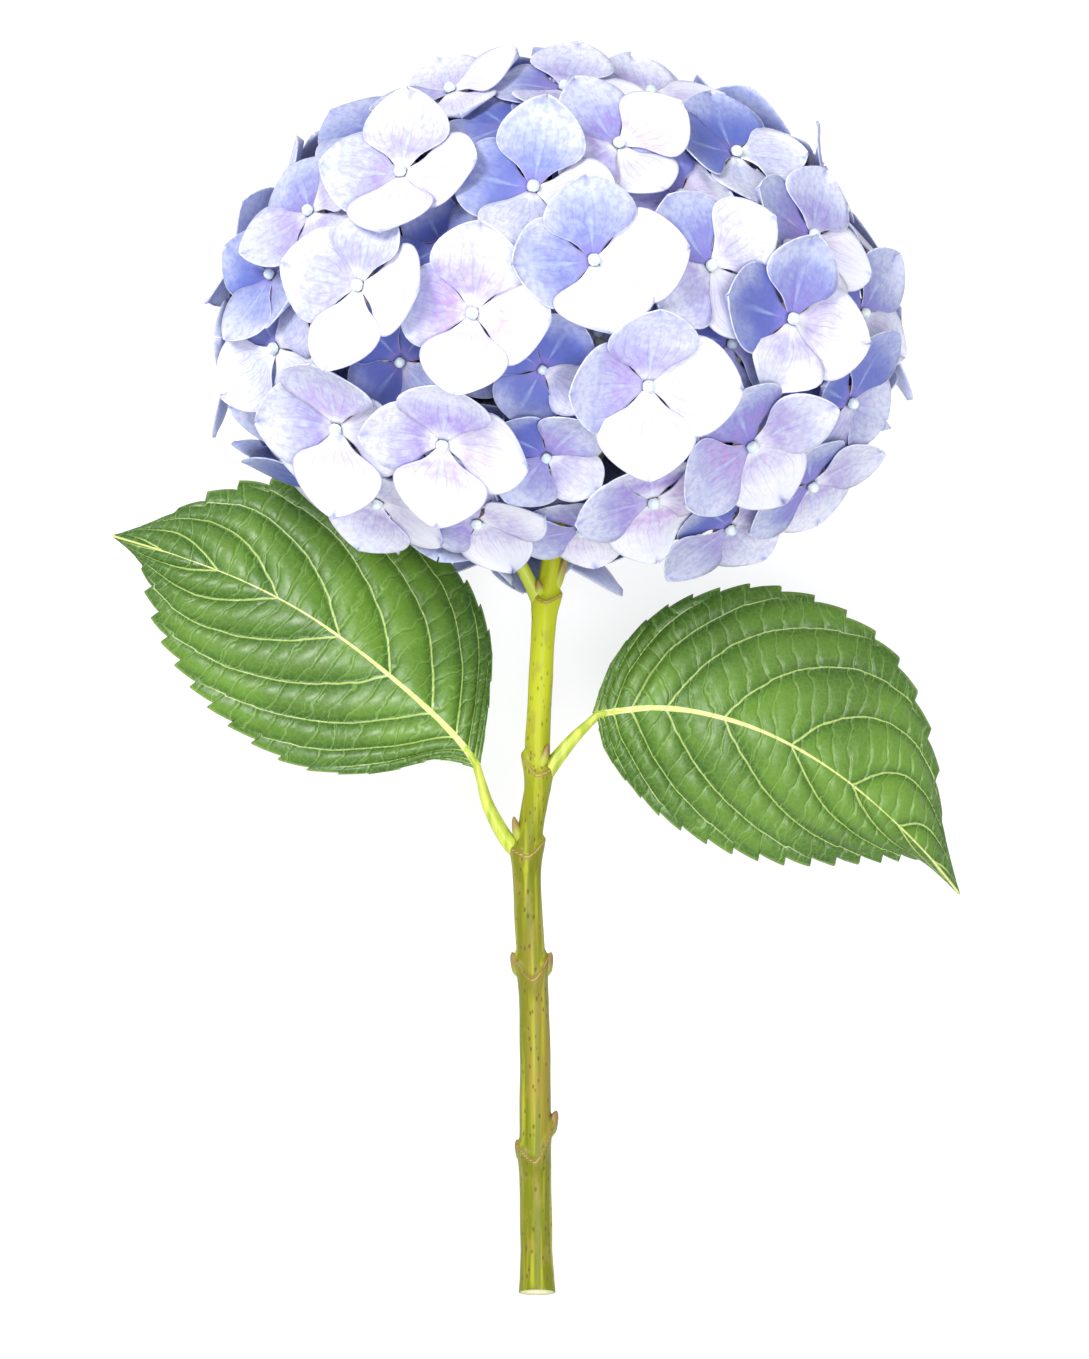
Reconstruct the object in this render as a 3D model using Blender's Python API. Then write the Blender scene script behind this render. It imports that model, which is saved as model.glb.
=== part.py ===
"""A cut mophead hydrangea, laid down on a flat surface.

The plant is drawn in a frame of its own: x across the leaves, y up the stem from the middle of its
cut end, z out of the face that looks up. An empty then lays it down, so that the head rests on its
lowest sepals and the stem on the edge of its cut end.
"""

import math
import random

import bpy
import numpy as np
from mathutils import Vector

MM = 0.001

# How it lies: the stem climbs from its cut end, which stands at the foot, to the middle of the head.
LAY_TILT = math.radians(18.5)
FOOT = np.array([1.45, -142.16, 4.24])
UP = np.array([0.0, math.sin(LAY_TILT), math.cos(LAY_TILT)])

# The stem: height of each station, how far it stands sideways there, and its radius, in mm.
STEM_HEIGHTS = (0, 3, 11, 28, 57, 72, 91, 101, 109, 115, 122, 134, 144, 156, 165, 177, 188)
STEM_SWAY = (0, 0, -0.2, -0.4, -0.4, -0.8, -2.0, -2.4, -2.2, -1.2, 0.0, 0.1, 0.7, 1.3, 1.9, 3.6, 4.3)
STEM_RADII = (4.45, 4.15, 3.85, 3.85, 3.7, 3.6, 3.4, 3.4, 3.3, 3.1, 3.1, 3.0, 2.9, 2.9, 2.9, 2.6, 2.5)
STEM_SIDES = 12
# Joints: height of the scar in front, and how far it climbs on the left and on the right.
STEM_JOINTS = ((33.0, 4.0, 10.0), (76.5, 5.6, 5.6), (106.0, 2.0, 4.0), (125.5, 5.0, 1.5), (167.0, 2.0, 2.0))
SCAR_FLARE = 0.9
SCAR_REACH = 2.4
RING_OFFSETS = (-5.0, -2.0, 0.0, 2.0, 4.0, 7.0, 10.0)
# What stands off the stem: base, tip and their radii. Buds, the cut leaf stub, and the small one.
STEM_SPURS = (
    ((-2.6, 32.0, 0.0), (-4.9, 38.0, 0.4), 1.7, 0.5),
    ((2.4, 38.0, 0.0), (4.7, 45.0, 0.4), 1.7, 0.5),
    ((-3.6, 76.5, 0.0), (-6.0, 83.0, 0.4), 1.7, 0.5),
    ((1.4, 76.5, 0.0), (3.4, 83.0, 0.4), 1.7, 0.5),
    ((-2.2, 109.0, 2.2), (-4.2, 115.0, 2.9), 1.4, 0.4),
    ((0.8, 127.0, 2.2), (2.7, 132.8, 3.0), 1.2, 0.4),
    ((1.2, 166.0, 0.4), (-6.3, 182.0, 3.4), 1.8, 1.55),
    ((3.2, 167.5, 0.0), (7.6, 179.6, 1.5), 1.6, 0.4),
    ((0.9, 168.5, 2.0), (0.2, 172.0, 3.4), 1.2, 0.5),
)
RAY_COUNT = 6
RAY_RADIUS = 1.3
RAY_SPREAD = 12.5
RAY_START = 183.0

# The head: the dome on which the middles of the florets lie, and the crowded core inside it.
HEAD_MIDDLE = np.array([4.3, 227.5, 0.0])
DOME_REACH = 77.5
DOME_RISE = 65.0
DOME_DROP = 48.0
CORE_PROFILE = ((22, 47), (41, 37), (53, 21), (58, 3), (53, -11), (42, -19))
CORE_SIDES = 16
CORE_TOP = 50.0
STALK_ROOT = 0.52
STALK_ROOT_CLEAR = 20.0

# A sepal: distance from the middle of the floret and half width, from the claw to the tip.
CLAW = 1.75
SEPAL_SIDE = (9.3, 8.7)
SEPAL_SHOULDER = (16.0, 7.0)
SEPAL_TIP = 19.6
SEPAL_THICK = 0.8
SEPAL_LAP = 0.35
BEAD_HEIGHT = 2.0

# Florets on the face, from left to right of the eye of the head: across, up, turn of the upper
# sepals, size, and how far it is sunk below the dome, or stands out of it.
FACE_FLORETS = (
    (-34, 34, 90, 1.00, 0), (-5, 30, 80, 1.00, 0), (8, 13, 98, 1.00, 0), (-18, 2, 80, 1.00, 0),
    (-43, 9, 75, 1.00, 0), (34, 13, 35, 1.00, 0), (14, 41, 40, 0.95, 0), (28, 30, 105, 0.85, 2),
    (52, 2, 75, 1.00, 0), (20, -13, 90, 1.00, 0), (43, -24, 30, 1.05, 0), (-3, -11, 60, 0.75, 3),
    (-2, -30, 60, 0.80, 2), (22, -37, 0, 1.00, 0), (-25, -25, 80, 1.00, 0), (-49, -21, 75, 1.05, 0),
    (-27, 20, 30, 0.70, 5), (41, 41, 20, 0.95, 0), (58, 22, 60, 0.95, 0), (-56, 28, 20, 0.95, 0),
    (-65, 14, 50, 0.90, 0), (-64, -3, 30, 0.95, 0), (-41, 48, 70, 0.95, 0), (-24, 57, 15, 0.95, 0),
    (-11, 48, 50, 0.85, 2), (2, 57, 80, 0.95, 0), (22, 57, 20, 0.90, 0), (47, 27, 0, 0.75, 5),
    (71, 6, 40, 0.90, 0), (67, -14, 70, 0.95, -1), (58, -30, 15, 0.95, -4), (42, -42, 60, 0.95, -4),
    (-18, -42, 45, 0.90, 0), (-41, -37, 65, 0.95, 0), (-62, -19, 10, 0.85, 2), (6, -44, 30, 0.85, 0),
)
# Florets that the head rests on: across and up the plant. Their sepals bend down to the table.
RESTING_FLORETS = ((-9.5, 213.0), (17.5, 215.0), (3.0, 237.0))
RESTING_CUP = 5.0
RESTING_ROOM = 0.1
# The rest of the head: of the places that a golden spiral gives, the one with the most room round it
# takes the next floret, until none has this much room. None grows in the neck, or where the edge or
# midrib of a leaf passes close to its middle.
REST_PLACES = 500
REST_SPACING = 22.4
TILT = 0.08
GOLDEN_TURN = math.pi * (3.0 - math.sqrt(5.0))
NECK_CLEAR = 25.0
LEAF_ROOM = 13.0

# The leaves, by stations from base to tip: midrib, upper edge and lower edge, each as x, y, z in mm.
LEFT_LEAF = (
    ((-14.5, 127.8, -4), (-18.6, 133.4, -6), (-25.2, 140.1, -9), (-34.5, 148.2, -13), (-44.5, 156.1, -17),
     (-57.3, 164.8, -22), (-72.0, 172.4, -28), (-89.1, 179.0, -35), (-106.5, 184.4, -43)),
    ((-13.7, 128.2, -4), (-11.5, 144.7, -12), (-11.7, 158.7, -20), (-18.6, 173.2, -28), (-34.1, 185.7, -34),
     (-49.8, 193.6, -37), (-69.2, 197.4, -39), (-88.0, 191.6, -41), (-106.5, 184.4, -43)),
    ((-15.5, 127.2, -4), (-24.2, 129.1, -6), (-38.8, 125.8, -10), (-56.8, 127.1, -16), (-72.6, 135.8, -22),
     (-84.3, 147.0, -28), (-93.0, 160.4, -33), (-98.0, 175.0, -39), (-106.5, 184.4, -43)),
)
RIGHT_LEAF = (
    ((14.2, 139.9, 0), (20.4, 140.9, 1), (28.4, 141.6, 2), (38.4, 140.6, 2), (50.6, 137.3, 1),
     (62.6, 131.8, -2), (74.4, 124.2, -6), (85.4, 115.1, -11), (95.6, 105.3, -17), (103.9, 95.5, -24)),
    ((13.6, 140.9, 0), (18.0, 152.6, -1), (27.5, 163.2, -3), (39.8, 168.8, -5), (55.1, 170.6, -8),
     (72.1, 165.6, -11), (86.4, 154.2, -14), (95.1, 136.3, -17), (99.1, 114.9, -20), (103.9, 95.5, -24)),
    ((14.8, 138.9, 0), (16.1, 132.0, 0), (22.1, 123.6, -2), (31.3, 115.0, -5), (44.2, 108.4, -8),
     (57.6, 105.1, -11), (70.9, 104.6, -13), (83.2, 105.2, -15), (92.9, 104.4, -19), (103.9, 95.5, -24)),
)
LEFT_STALK = ((-2.3, 105.5, 0.0), (-6.6, 109.5, -0.6), (-11.0, 117.5, -2.6), (-13.2, 124.0, -4.2))
RIGHT_STALK = ((0.2, 123.0, 0.0), (3.4, 127.6, 0.2), (8.2, 133.6, 0.2), (12.4, 137.8, -0.6))
STALK_RADIUS = 1.75
RIB_RADIUS = 0.55
RIB_SINK = 0.6
RIB_END = 0.8
LEAF_THICK = 0.8
LEAF_TEETH = 20
TOOTH_OUT = 1.3
TOOTH_FORWARD = 0.35
SIDE_VEINS = 7
VEIN_SWEEP = 0.8
QUILT_HEIGHT = 0.9
LEAF_COLUMNS = (-1.0, -0.66, -0.33, 0.0, 0.33, 0.66, 1.0)
STEM_GAP = 0.3

for old in list(bpy.data.objects):
    bpy.data.objects.remove(old, do_unlink=True)

lay = bpy.data.objects.new("lay", None)
lay.location = Vector(FOOT * MM)
lay.rotation_euler = (LAY_TILT, 0.0, 0.0)
bpy.context.scene.collection.objects.link(lay)


def material(name, colour, roughness):
    made = bpy.data.materials.new(name)
    made.use_nodes = True
    shader = made.node_tree.nodes["Principled BSDF"]
    shader.inputs["Base Color"].default_value = (*colour, 1.0)
    shader.inputs["Roughness"].default_value = roughness
    shader.inputs["Metallic"].default_value = 0.0
    made.diffuse_color = (*colour, 1.0)
    return made


def mesh_object(name, points, faces, collection=None):
    """An object in the plant's own frame, from points in mm."""
    mesh = bpy.data.meshes.new(name)
    mesh.from_pydata([tuple(float(c) * MM for c in point) for point in points], [], faces)
    mesh.validate()
    made = bpy.data.objects.new(name, mesh)
    (collection or bpy.context.scene.collection).objects.link(made)
    return made


def combine(base, others, operation):
    """Joins the others to the base, or cuts them from it, and removes them."""
    modifier = base.modifiers.new("combine", "BOOLEAN")
    modifier.operation = operation
    modifier.operand_type = "COLLECTION"
    modifier.collection = others
    modifier.solver = "MANIFOLD"
    bpy.context.view_layer.update()
    graph = bpy.context.evaluated_depsgraph_get()
    result = bpy.data.meshes.new_from_object(base.evaluated_get(graph))
    base.modifiers.remove(modifier)
    base.data = result
    for used in list(others.objects):
        bpy.data.objects.remove(used, do_unlink=True)
    bpy.data.collections.remove(others)
    return base


def group(name):
    made = bpy.data.collections.new(name)
    bpy.context.scene.collection.children.link(made)
    return made


def finish(made, paint):
    made.data.materials.clear()
    made.data.materials.append(paint)
    made.parent = lay
    return made


def along(points, share):
    """The point a share of the way through a list of points, on a smooth line through them."""
    points = np.asarray(points, float)
    last = len(points) - 1
    place = min(max(share, 0.0), 1.0) * last
    start = min(int(place), last - 1)
    t = place - start
    before, p, q, after = (points[min(max(start + k, 0), last)] for k in (-1, 0, 1, 2))
    return p + 0.5 * t * (q - before + t * (2 * before - 5 * p + 4 * q - after + t * (3 * (p - q) + after - before)))


def rings_to_tube(rings, first_end, last_end):
    """Points and faces of a closed tube through equal rings, with a point at the middle of each end."""
    sides = len(rings[0])
    points = [point for ring in rings for point in ring] + [first_end, last_end]
    faces = []
    for i in range(len(rings) - 1):
        for k in range(sides):
            a, b = i * sides + k, i * sides + (k + 1) % sides
            faces += [(a, b, b + sides), (a, b + sides, a + sides)]
    top = (len(rings) - 1) * sides
    for k in range(sides):
        after = (k + 1) % sides
        faces.append((len(points) - 2, after, k))
        faces.append((len(points) - 1, top + k, top + after))
    return points, faces


def rod(path, radii, sides):
    """A closed round rod along a path of points, with a radius for each."""
    path = [np.asarray(p, float) for p in path]
    rings = []
    for i, middle in enumerate(path):
        run = path[min(i + 1, len(path) - 1)] - path[max(i - 1, 0)]
        run /= np.linalg.norm(run)
        side = np.cross(run, (0.0, 0.0, 1.0))
        side /= np.linalg.norm(side)
        other = np.cross(run, side)
        turns = [2 * math.pi * k / sides for k in range(sides)]
        rings.append([middle + radii[i] * (math.cos(a) * side + math.sin(a) * other) for a in turns])
    return rings_to_tube(rings, path[0], path[-1])


# The stem: a tube whose rings swell along the slanting leaf scars, with buds, stubs and rays.
def stem_ring(height, grown):
    middle = np.interp(height, STEM_HEIGHTS, STEM_SWAY)
    ring = []
    for k in range(STEM_SIDES):
        turn = -2 * math.pi * k / STEM_SIDES
        radius = np.interp(height, STEM_HEIGHTS, STEM_RADII) + grown
        for scar, climb_left, climb_right in STEM_JOINTS:
            climb = climb_right * max(math.cos(turn), 0.0) + climb_left * max(-math.cos(turn), 0.0)
            radius += SCAR_FLARE * math.exp(-(((height - scar - climb) / SCAR_REACH) ** 2))
        ring.append((middle + radius * math.cos(turn), height, radius * math.sin(turn)))
    return ring


def stem_body(grown):
    heights = set(STEM_HEIGHTS) | {joint[0] + step for joint in STEM_JOINTS for step in RING_OFFSETS}
    kept = [0.0]
    for height in sorted(heights):
        if height - kept[-1] > 1.2:
            kept.append(height)
    rings = [stem_ring(height, grown) for height in kept]
    return rings_to_tube(rings, (STEM_SWAY[0], kept[0], 0.0), (STEM_SWAY[-1], kept[-1], 0.0))


def ray_paths():
    """The rays that the stem divides into: they end upright, just short of the flat foot of the core."""
    end = HEAD_MIDDLE[1] + CORE_PROFILE[-1][1] - 1.7 * STEM_GAP
    for k in range(RAY_COUNT):
        turn = 2 * math.pi * (k + 0.25) / RAY_COUNT
        way = np.array([math.cos(turn), 0.0, math.sin(turn)])
        start = np.array([STEM_SWAY[-1], RAY_START, 0.0]) + 0.8 * way
        stop = np.array([HEAD_MIDDLE[0], end, 0.0]) + RAY_SPREAD * way
        rise = end - RAY_START
        yield [
            start,
            start + 1.2 * way + (0.0, 0.28 * rise, 0.0),
            0.45 * start + 0.55 * stop + (0.0, 0.02 * rise, 0.0),
            stop - 0.08 * RAY_SPREAD * way - (0.0, 0.2 * rise, 0.0),
            stop,
        ]


def grow_stem():
    stem = mesh_object("stem", *stem_body(0.0))
    extras = group("stem extras")
    for base, tip, wide, narrow in STEM_SPURS:
        mesh_object("spur", *rod([base, tip], [wide, narrow], 6), extras)
    for path in ray_paths():
        radii = [RAY_RADIUS] * (len(path) - 1) + [RAY_RADIUS * 0.85]
        mesh_object("ray", *rod(path, radii, 6), extras)
    return combine(stem, extras, "UNION")


# A leaf: a quilted blade with a toothed edge on a round stalk, which runs on under it as the midrib.
def blade_point(leaf, share, across, tooth):
    midrib, upper, lower = leaf
    spine = along(midrib, share)
    edge = along(upper if across > 0 else lower, share)
    outward = edge - spine
    width = np.linalg.norm(outward)
    if abs(across) == 1.0 and tooth and width > 0:
        ahead = along(midrib, share + 0.02) - along(midrib, share - 0.02)
        ahead /= np.linalg.norm(ahead)
        edge = edge + TOOTH_OUT * (outward / width + TOOTH_FORWARD * ahead)
    point = spine + abs(across) * (edge - spine)
    quilt = math.sin(math.pi * (share * (SIDE_VEINS + 1) - VEIN_SWEEP * abs(across))) ** 2
    rise = QUILT_HEIGHT * quilt * math.sin(math.pi * abs(across)) * min(width / 20.0, 1.0)
    return point + (0.0, 0.0, rise)


def blade(leaf):
    rows = []
    stations = 2 * LEAF_TEETH
    for i in range(stations):
        rows.append([blade_point(leaf, i / stations, c, i % 2 == 1) for c in LEAF_COLUMNS])
    tip = along(leaf[0], 1.0)
    columns = len(LEAF_COLUMNS)
    grid = np.array(rows)
    long_way = np.gradient(grid, axis=0)
    cross_way = np.gradient(grid, axis=1)
    normal = np.cross(long_way, cross_way)
    normal *= np.sign(normal[..., 2:3] + 1e-12)
    normal /= np.linalg.norm(normal, axis=2, keepdims=True)
    half = 0.5 * LEAF_THICK * normal
    top = (grid + half).reshape(-1, 3)
    bottom = (grid - half).reshape(-1, 3)
    count = len(top)
    lift = np.array([0.0, 0.0, 0.4 * LEAF_THICK])
    points = list(top) + list(bottom) + [tip + lift, tip - lift]
    faces = []
    flip = np.cross(long_way[5, 1], cross_way[5, 1])[2] < 0

    def add(a, b, c, under=False):
        faces.append((a, c, b) if flip != under else (a, b, c))

    for i in range(stations - 1):
        for j in range(columns - 1):
            a = i * columns + j
            b, c, d = a + columns, a + columns + 1, a + 1
            if (i + j) % 2:
                pairs = ((a, b, c), (a, c, d))
            else:
                pairs = ((a, b, d), (b, c, d))
            for p, q, r in pairs:
                add(p, q, r)
                add(p + count, q + count, r + count, under=True)
    last = (stations - 1) * columns
    for j in range(columns - 1):
        add(last + j, 2 * count, last + j + 1)
        add(last + j + count, 2 * count + 1, last + j + 1 + count, under=True)
    rim = [i * columns for i in range(stations)] + [2 * count]
    rim += [i * columns + columns - 1 for i in reversed(range(stations))]
    rim += list(range(columns - 2, 0, -1))
    under = [p + count if p < count else p + 1 for p in rim]
    for k in range(len(rim)):
        m = (k + 1) % len(rim)
        add(rim[k], under[k], under[m])
        add(rim[k], under[m], rim[m])
    return points, faces


def grow_leaf(name, leaf, stalk):
    made = mesh_object(name, *blade(leaf))
    rib_steps = 15
    path = [np.asarray(p, float) for p in stalk]
    for k in range(1, rib_steps):
        path.append(along(leaf[0], RIB_END * k / (rib_steps - 1)) - (0.0, 0.0, RIB_SINK))
    bare = len(stalk)
    radii = [STALK_RADIUS] * 2 + [STALK_RADIUS * 0.82] * (bare - 2)
    radii += [np.interp(k, (1, rib_steps - 1), (STALK_RADIUS * 0.75, RIB_RADIUS)) for k in range(1, rib_steps)]
    extras = group("leaf stalk")
    mesh_object("stalk", *rod(path, radii, 6), extras)
    combine(made, extras, "UNION")
    cutters = group("stem room")
    mesh_object("room", *stem_body(STEM_GAP), cutters)
    return combine(made, cutters, "DIFFERENCE")


# The head: florets of four sepals on the dome, each on a stalk rooted in the core.
def dome_axes(up):
    return np.array([DOME_REACH, DOME_RISE if up > 0 else DOME_DROP, DOME_REACH])


def place_on_dome(way, sunk):
    axes = dome_axes(way[1])
    facing = way / axes
    facing /= np.linalg.norm(facing)
    return HEAD_MIDDLE + axes * way - sunk * facing, facing


def floret(middle, facing, turn, size, cup, pointed):
    """Points and faces of one floret, bead and stalk: the four sepals lie as one thin cross."""
    way = np.array([math.cos(turn), math.sin(turn), 0.0])
    side = way - facing * (way @ facing)
    side /= np.linalg.norm(side)
    other = np.cross(facing, side)
    outline = [SEPAL_SIDE, SEPAL_SHOULDER]
    lobe = [(CLAW, -CLAW)] + [(r, -w) for r, w in outline]
    lobe += [(SEPAL_TIP, 0.0)] if pointed else []
    lobe += [(r, w) for r, w in reversed(outline)]
    flat = []
    for quarter in range(4):
        lap = SEPAL_LAP if quarter % 2 == 0 else -SEPAL_LAP
        for r, w in lobe:
            rise = cup * (r / SEPAL_TIP) ** 2 + (lap if r > 2 * CLAW else 0.0)
            c, s = ((1, 0), (0, 1), (-1, 0), (0, -1))[quarter]
            flat.append((size * (r * c - w * s), size * (r * s + w * c), size * rise))
    mid_sheet = np.array([middle + x * side + y * other + z * facing for x, y, z in flat])
    outer = mid_sheet + 0.5 * SEPAL_THICK * facing
    inner = mid_sheet - 0.5 * SEPAL_THICK * facing
    root = HEAD_MIDDLE + STALK_ROOT * (middle - HEAD_MIDDLE)
    spread = root[[0, 2]] - HEAD_MIDDLE[[0, 2]]
    reach = np.linalg.norm(spread)
    if root[1] < HEAD_MIDDLE[1] and reach < STALK_ROOT_CLEAR:
        root[[0, 2]] = HEAD_MIDDLE[[0, 2]] + spread * STALK_ROOT_CLEAR / reach
    root[1] = max(root[1], HEAD_MIDDLE[1] + CORE_PROFILE[-1][1] + 3.0)
    bead = middle + (BEAD_HEIGHT + 0.5 * SEPAL_THICK) * facing
    # What would sink through the table is pressed flat on it.
    outer_height = FOOT[2] + outer @ UP
    inner_height = FOOT[2] + inner @ UP
    press = np.maximum(-np.minimum(outer_height, inner_height), 0.0)
    outer = outer + press[:, None] * UP
    inner = inner + press[:, None] * UP
    bead = bead + max(-(FOOT[2] + bead @ UP), 0.0) * UP
    points = list(outer) + list(inner) + [bead, root]
    count = len(flat)
    per = count // 4
    faces = []
    rim = []
    claws = [quarter * per for quarter in range(4)]
    for quarter in range(4):
        start = quarter * per
        edge = list(range(start, start + len(lobe))) + [claws[(quarter + 1) % 4]]
        spread = [(edge[2], edge[3], edge[4])] if pointed else []
        a, b, c, d, e, f = edge[:3] + edge[-3:]
        spread += [(a, b, e), (a, e, f), (b, c, d), (b, d, e)]
        faces += spread + [(a + count, c + count, b + count) for a, b, c in spread]
        faces += [(2 * count, start, edge[-1]), (2 * count + 1, edge[-1] + count, start + count)]
        rim += edge[:-1]
    for a, b in zip(rim, rim[1:] + rim[:1]):
        faces += [(a, a + count, b + count), (a, b + count, b)]
    return points, faces


def leant(facing, chance):
    """The way a floret faces, leant a little aside, as its stalk bends."""
    facing = facing + np.array([chance.uniform(-TILT, TILT) for _ in range(3)])
    return facing / np.linalg.norm(facing)


def core():
    rings = []
    for reach, height in CORE_PROFILE:
        turns = [-2 * math.pi * k / CORE_SIDES for k in range(CORE_SIDES)]
        rings.append([HEAD_MIDDLE + (reach * math.cos(a), height, reach * math.sin(a)) for a in turns])
    rings.reverse()
    foot = HEAD_MIDDLE + (0.0, CORE_PROFILE[-1][1], 0.0)
    return rings_to_tube(rings, foot, HEAD_MIDDLE + (0.0, CORE_TOP, 0.0))


def grow_head():
    chance = random.Random(5)
    head = mesh_object("flower_head", *core())
    florets = group("florets")
    placed = []
    for across, up, turn, size, sunk in FACE_FLORETS:
        axes = dome_axes(up)
        flat_way = np.array([across, up]) / axes[:2]
        reach = np.linalg.norm(flat_way)
        flat_way *= min(1.0, 0.97 / reach)
        way = np.array([*flat_way, math.sqrt(1.0 - flat_way @ flat_way)])
        middle, facing = place_on_dome(way, sunk)
        facing = leant(facing + (0.0, 0.0, 0.25), chance)
        cup = chance.uniform(0.5, 2.5)
        points, faces = floret(middle, facing, math.radians(turn), size, cup, True)
        mesh_object("floret", points, faces, florets)
        placed.append(middle)
    for across, up in RESTING_FLORETS:
        height = BEAD_HEIGHT + 0.5 * SEPAL_THICK + RESTING_ROOM
        middle = np.array([across, up, (height - FOOT[2] - up * UP[1]) / UP[2]])
        turn = chance.uniform(0, math.tau)
        points, faces = floret(middle, -UP, turn, 1.0, RESTING_CUP, True)
        mesh_object("floret", points, faces, florets)
        placed.append(middle)
    leaf_stations = np.array([station for line in LEFT_LEAF + RIGHT_LEAF for station in line])
    places = []
    for k in range(REST_PLACES):
        up = 1.0 - 2.0 * (k + 0.5) / REST_PLACES
        level = math.sqrt(1.0 - up * up)
        turn = GOLDEN_TURN * k
        way = np.array([level * math.cos(turn), up, level * math.sin(turn)])
        middle, facing = place_on_dome(way, chance.uniform(0.0, 2.0))
        in_neck = up < 0 and math.hypot(middle[0] - HEAD_MIDDLE[0], middle[2]) < NECK_CLEAR
        on_leaf = np.linalg.norm(leaf_stations - middle, axis=1).min() < LEAF_ROOM
        if not in_neck and not on_leaf:
            places.append((middle, facing))
    while places:
        rooms = [min(np.linalg.norm(middle - spot) for spot in placed) for middle, _ in places]
        if max(rooms) < REST_SPACING:
            break
        middle, facing = places.pop(int(np.argmax(rooms)))
        facing = leant(facing, chance)
        turn, cup, size = chance.uniform(0, math.tau), chance.uniform(0.5, 2.5), chance.uniform(1.0, 1.12)
        points, faces = floret(middle, facing, turn, size, cup, False)
        mesh_object("floret", points, faces, florets)
        placed.append(middle)
    return combine(head, florets, "UNION")


green_stem = material("stem green", (0.42, 0.47, 0.09), 0.45)
green_leaf = material("leaf green", (0.13, 0.30, 0.05), 0.5)
blue_sepal = material("sepal blue", (0.60, 0.66, 0.86), 0.55)

finish(grow_stem(), green_stem)
finish(grow_leaf("leaf_left", LEFT_LEAF, LEFT_STALK), green_leaf)
finish(grow_leaf("leaf_right", RIGHT_LEAF, RIGHT_STALK), green_leaf)
finish(grow_head(), blue_sepal)
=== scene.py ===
import math
import random

import bpy
import numpy as np
from mathutils import Matrix, Vector
from mathutils.bvhtree import BVHTree


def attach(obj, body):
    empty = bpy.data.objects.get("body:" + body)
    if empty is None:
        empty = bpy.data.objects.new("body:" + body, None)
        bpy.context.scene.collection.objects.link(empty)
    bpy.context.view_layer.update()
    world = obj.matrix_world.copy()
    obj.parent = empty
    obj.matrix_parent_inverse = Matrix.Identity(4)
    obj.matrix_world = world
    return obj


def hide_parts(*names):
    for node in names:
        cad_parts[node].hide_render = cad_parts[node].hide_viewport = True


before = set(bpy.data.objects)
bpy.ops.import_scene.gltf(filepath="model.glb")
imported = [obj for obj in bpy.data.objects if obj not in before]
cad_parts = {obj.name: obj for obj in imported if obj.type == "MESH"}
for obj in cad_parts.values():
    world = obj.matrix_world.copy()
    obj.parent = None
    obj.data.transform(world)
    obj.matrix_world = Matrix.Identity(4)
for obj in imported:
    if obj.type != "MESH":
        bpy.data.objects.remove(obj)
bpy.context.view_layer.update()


# The stem. A young shoot, green and woody, that thickens at each joint. A pair of leaves has dropped
# from each of the two lower joints and left a slanting scar and two buds; two leaves stand at the
# next ones, and at the top joint the leaves were trimmed to stubs. It divides into rays under the head.
STEM_HEIGHTS = (0, 3, 11, 28, 57, 72, 91, 101, 109, 115, 122, 134, 144, 156, 165, 177, 188)
STEM_SWAY = (0, 0, -0.2, -0.4, -0.4, -0.8, -2.0, -2.4, -2.2, -1.2, 0.0, 0.1, 0.7, 1.3, 1.9, 3.6, 4.3)
STEM_RADII = (4.45, 4.15, 3.85, 3.85, 3.7, 3.6, 3.4, 3.4, 3.3, 3.1, 3.1, 3.0, 2.9, 2.9, 2.9, 2.6, 2.5)
STEM_JOINTS = ((33.0, 4.0, 10.0), (76.5, 5.6, 5.6), (106.0, 2.0, 4.0), (125.5, 5.0, 1.5), (167.0, 2.0, 2.0))
SCAR_FLARE = 0.95
SCAR_BOW = 1.5
SCAR_ABOVE, SCAR_BELOW, SCAR_LINE = 0.9, 4.0, 0.52
RIBS, RIB_DEPTH, RIB_DRIFT = 5, 0.05, 9.0
RIPPLE_DEPTH, RIPPLE_LENGTH = 0.04, 2.3
STEM_SIDES = 56
RING_STEP = 0.5
CUT_RADIUS = 4.42
CUT_SLANT = 0.30
CUT_BLEND = 16.0
OLD_BARK, YOUNG_BARK = (0.140, 0.155, 0.004), (0.40, 0.45, 0.012)
YELLOW_STREAK, OLIVE_MOTTLE, TAN_STREAK = (0.40, 0.42, 0.028), (0.24, 0.20, 0.028), (0.30, 0.19, 0.040)
LENTICEL_BROWN, SCAR_BROWN, SCAR_CORK = (0.115, 0.055, 0.018), (0.20, 0.12, 0.035), (0.50, 0.38, 0.17)

# With no vase it lies on its side, on the edge of its cut end and the lowest sepals of the head. All
# is drawn as the plant stands, in millimetres (x across the leaves, y up the stem, z out of the
# face), and laid down by one matrix.
MM = 0.001
LAY_TILT = math.radians(18.5)
FOOT = np.array([1.45, -142.16, 4.24])
UP = np.array([0.0, math.sin(LAY_TILT), math.cos(LAY_TILT)])
LAID = np.array([[1.0, 0.0, 0.0], [0.0, math.cos(LAY_TILT), -UP[1]], UP])


def laid(points):
    """Points of the plant where they lie in the room, in metres."""
    return (np.asarray(points, float) @ LAID.T + FOOT) * MM


def grow(name, points, faces, marks=None):
    """A smooth piece of the plant, with named values on its points for its colours to follow."""
    mesh = bpy.data.meshes.new(name)
    mesh.from_pydata(laid(points).tolist(), [], faces)
    for mark, values in (marks or {}).items():
        kept = mesh.attributes.new(mark, "FLOAT", "POINT")
        kept.data.foreach_set("value", np.asarray(values, np.float32).ravel())
    mesh.shade_smooth()
    piece = bpy.data.objects.new(name, mesh)
    bpy.context.scene.collection.objects.link(piece)
    return piece


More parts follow.
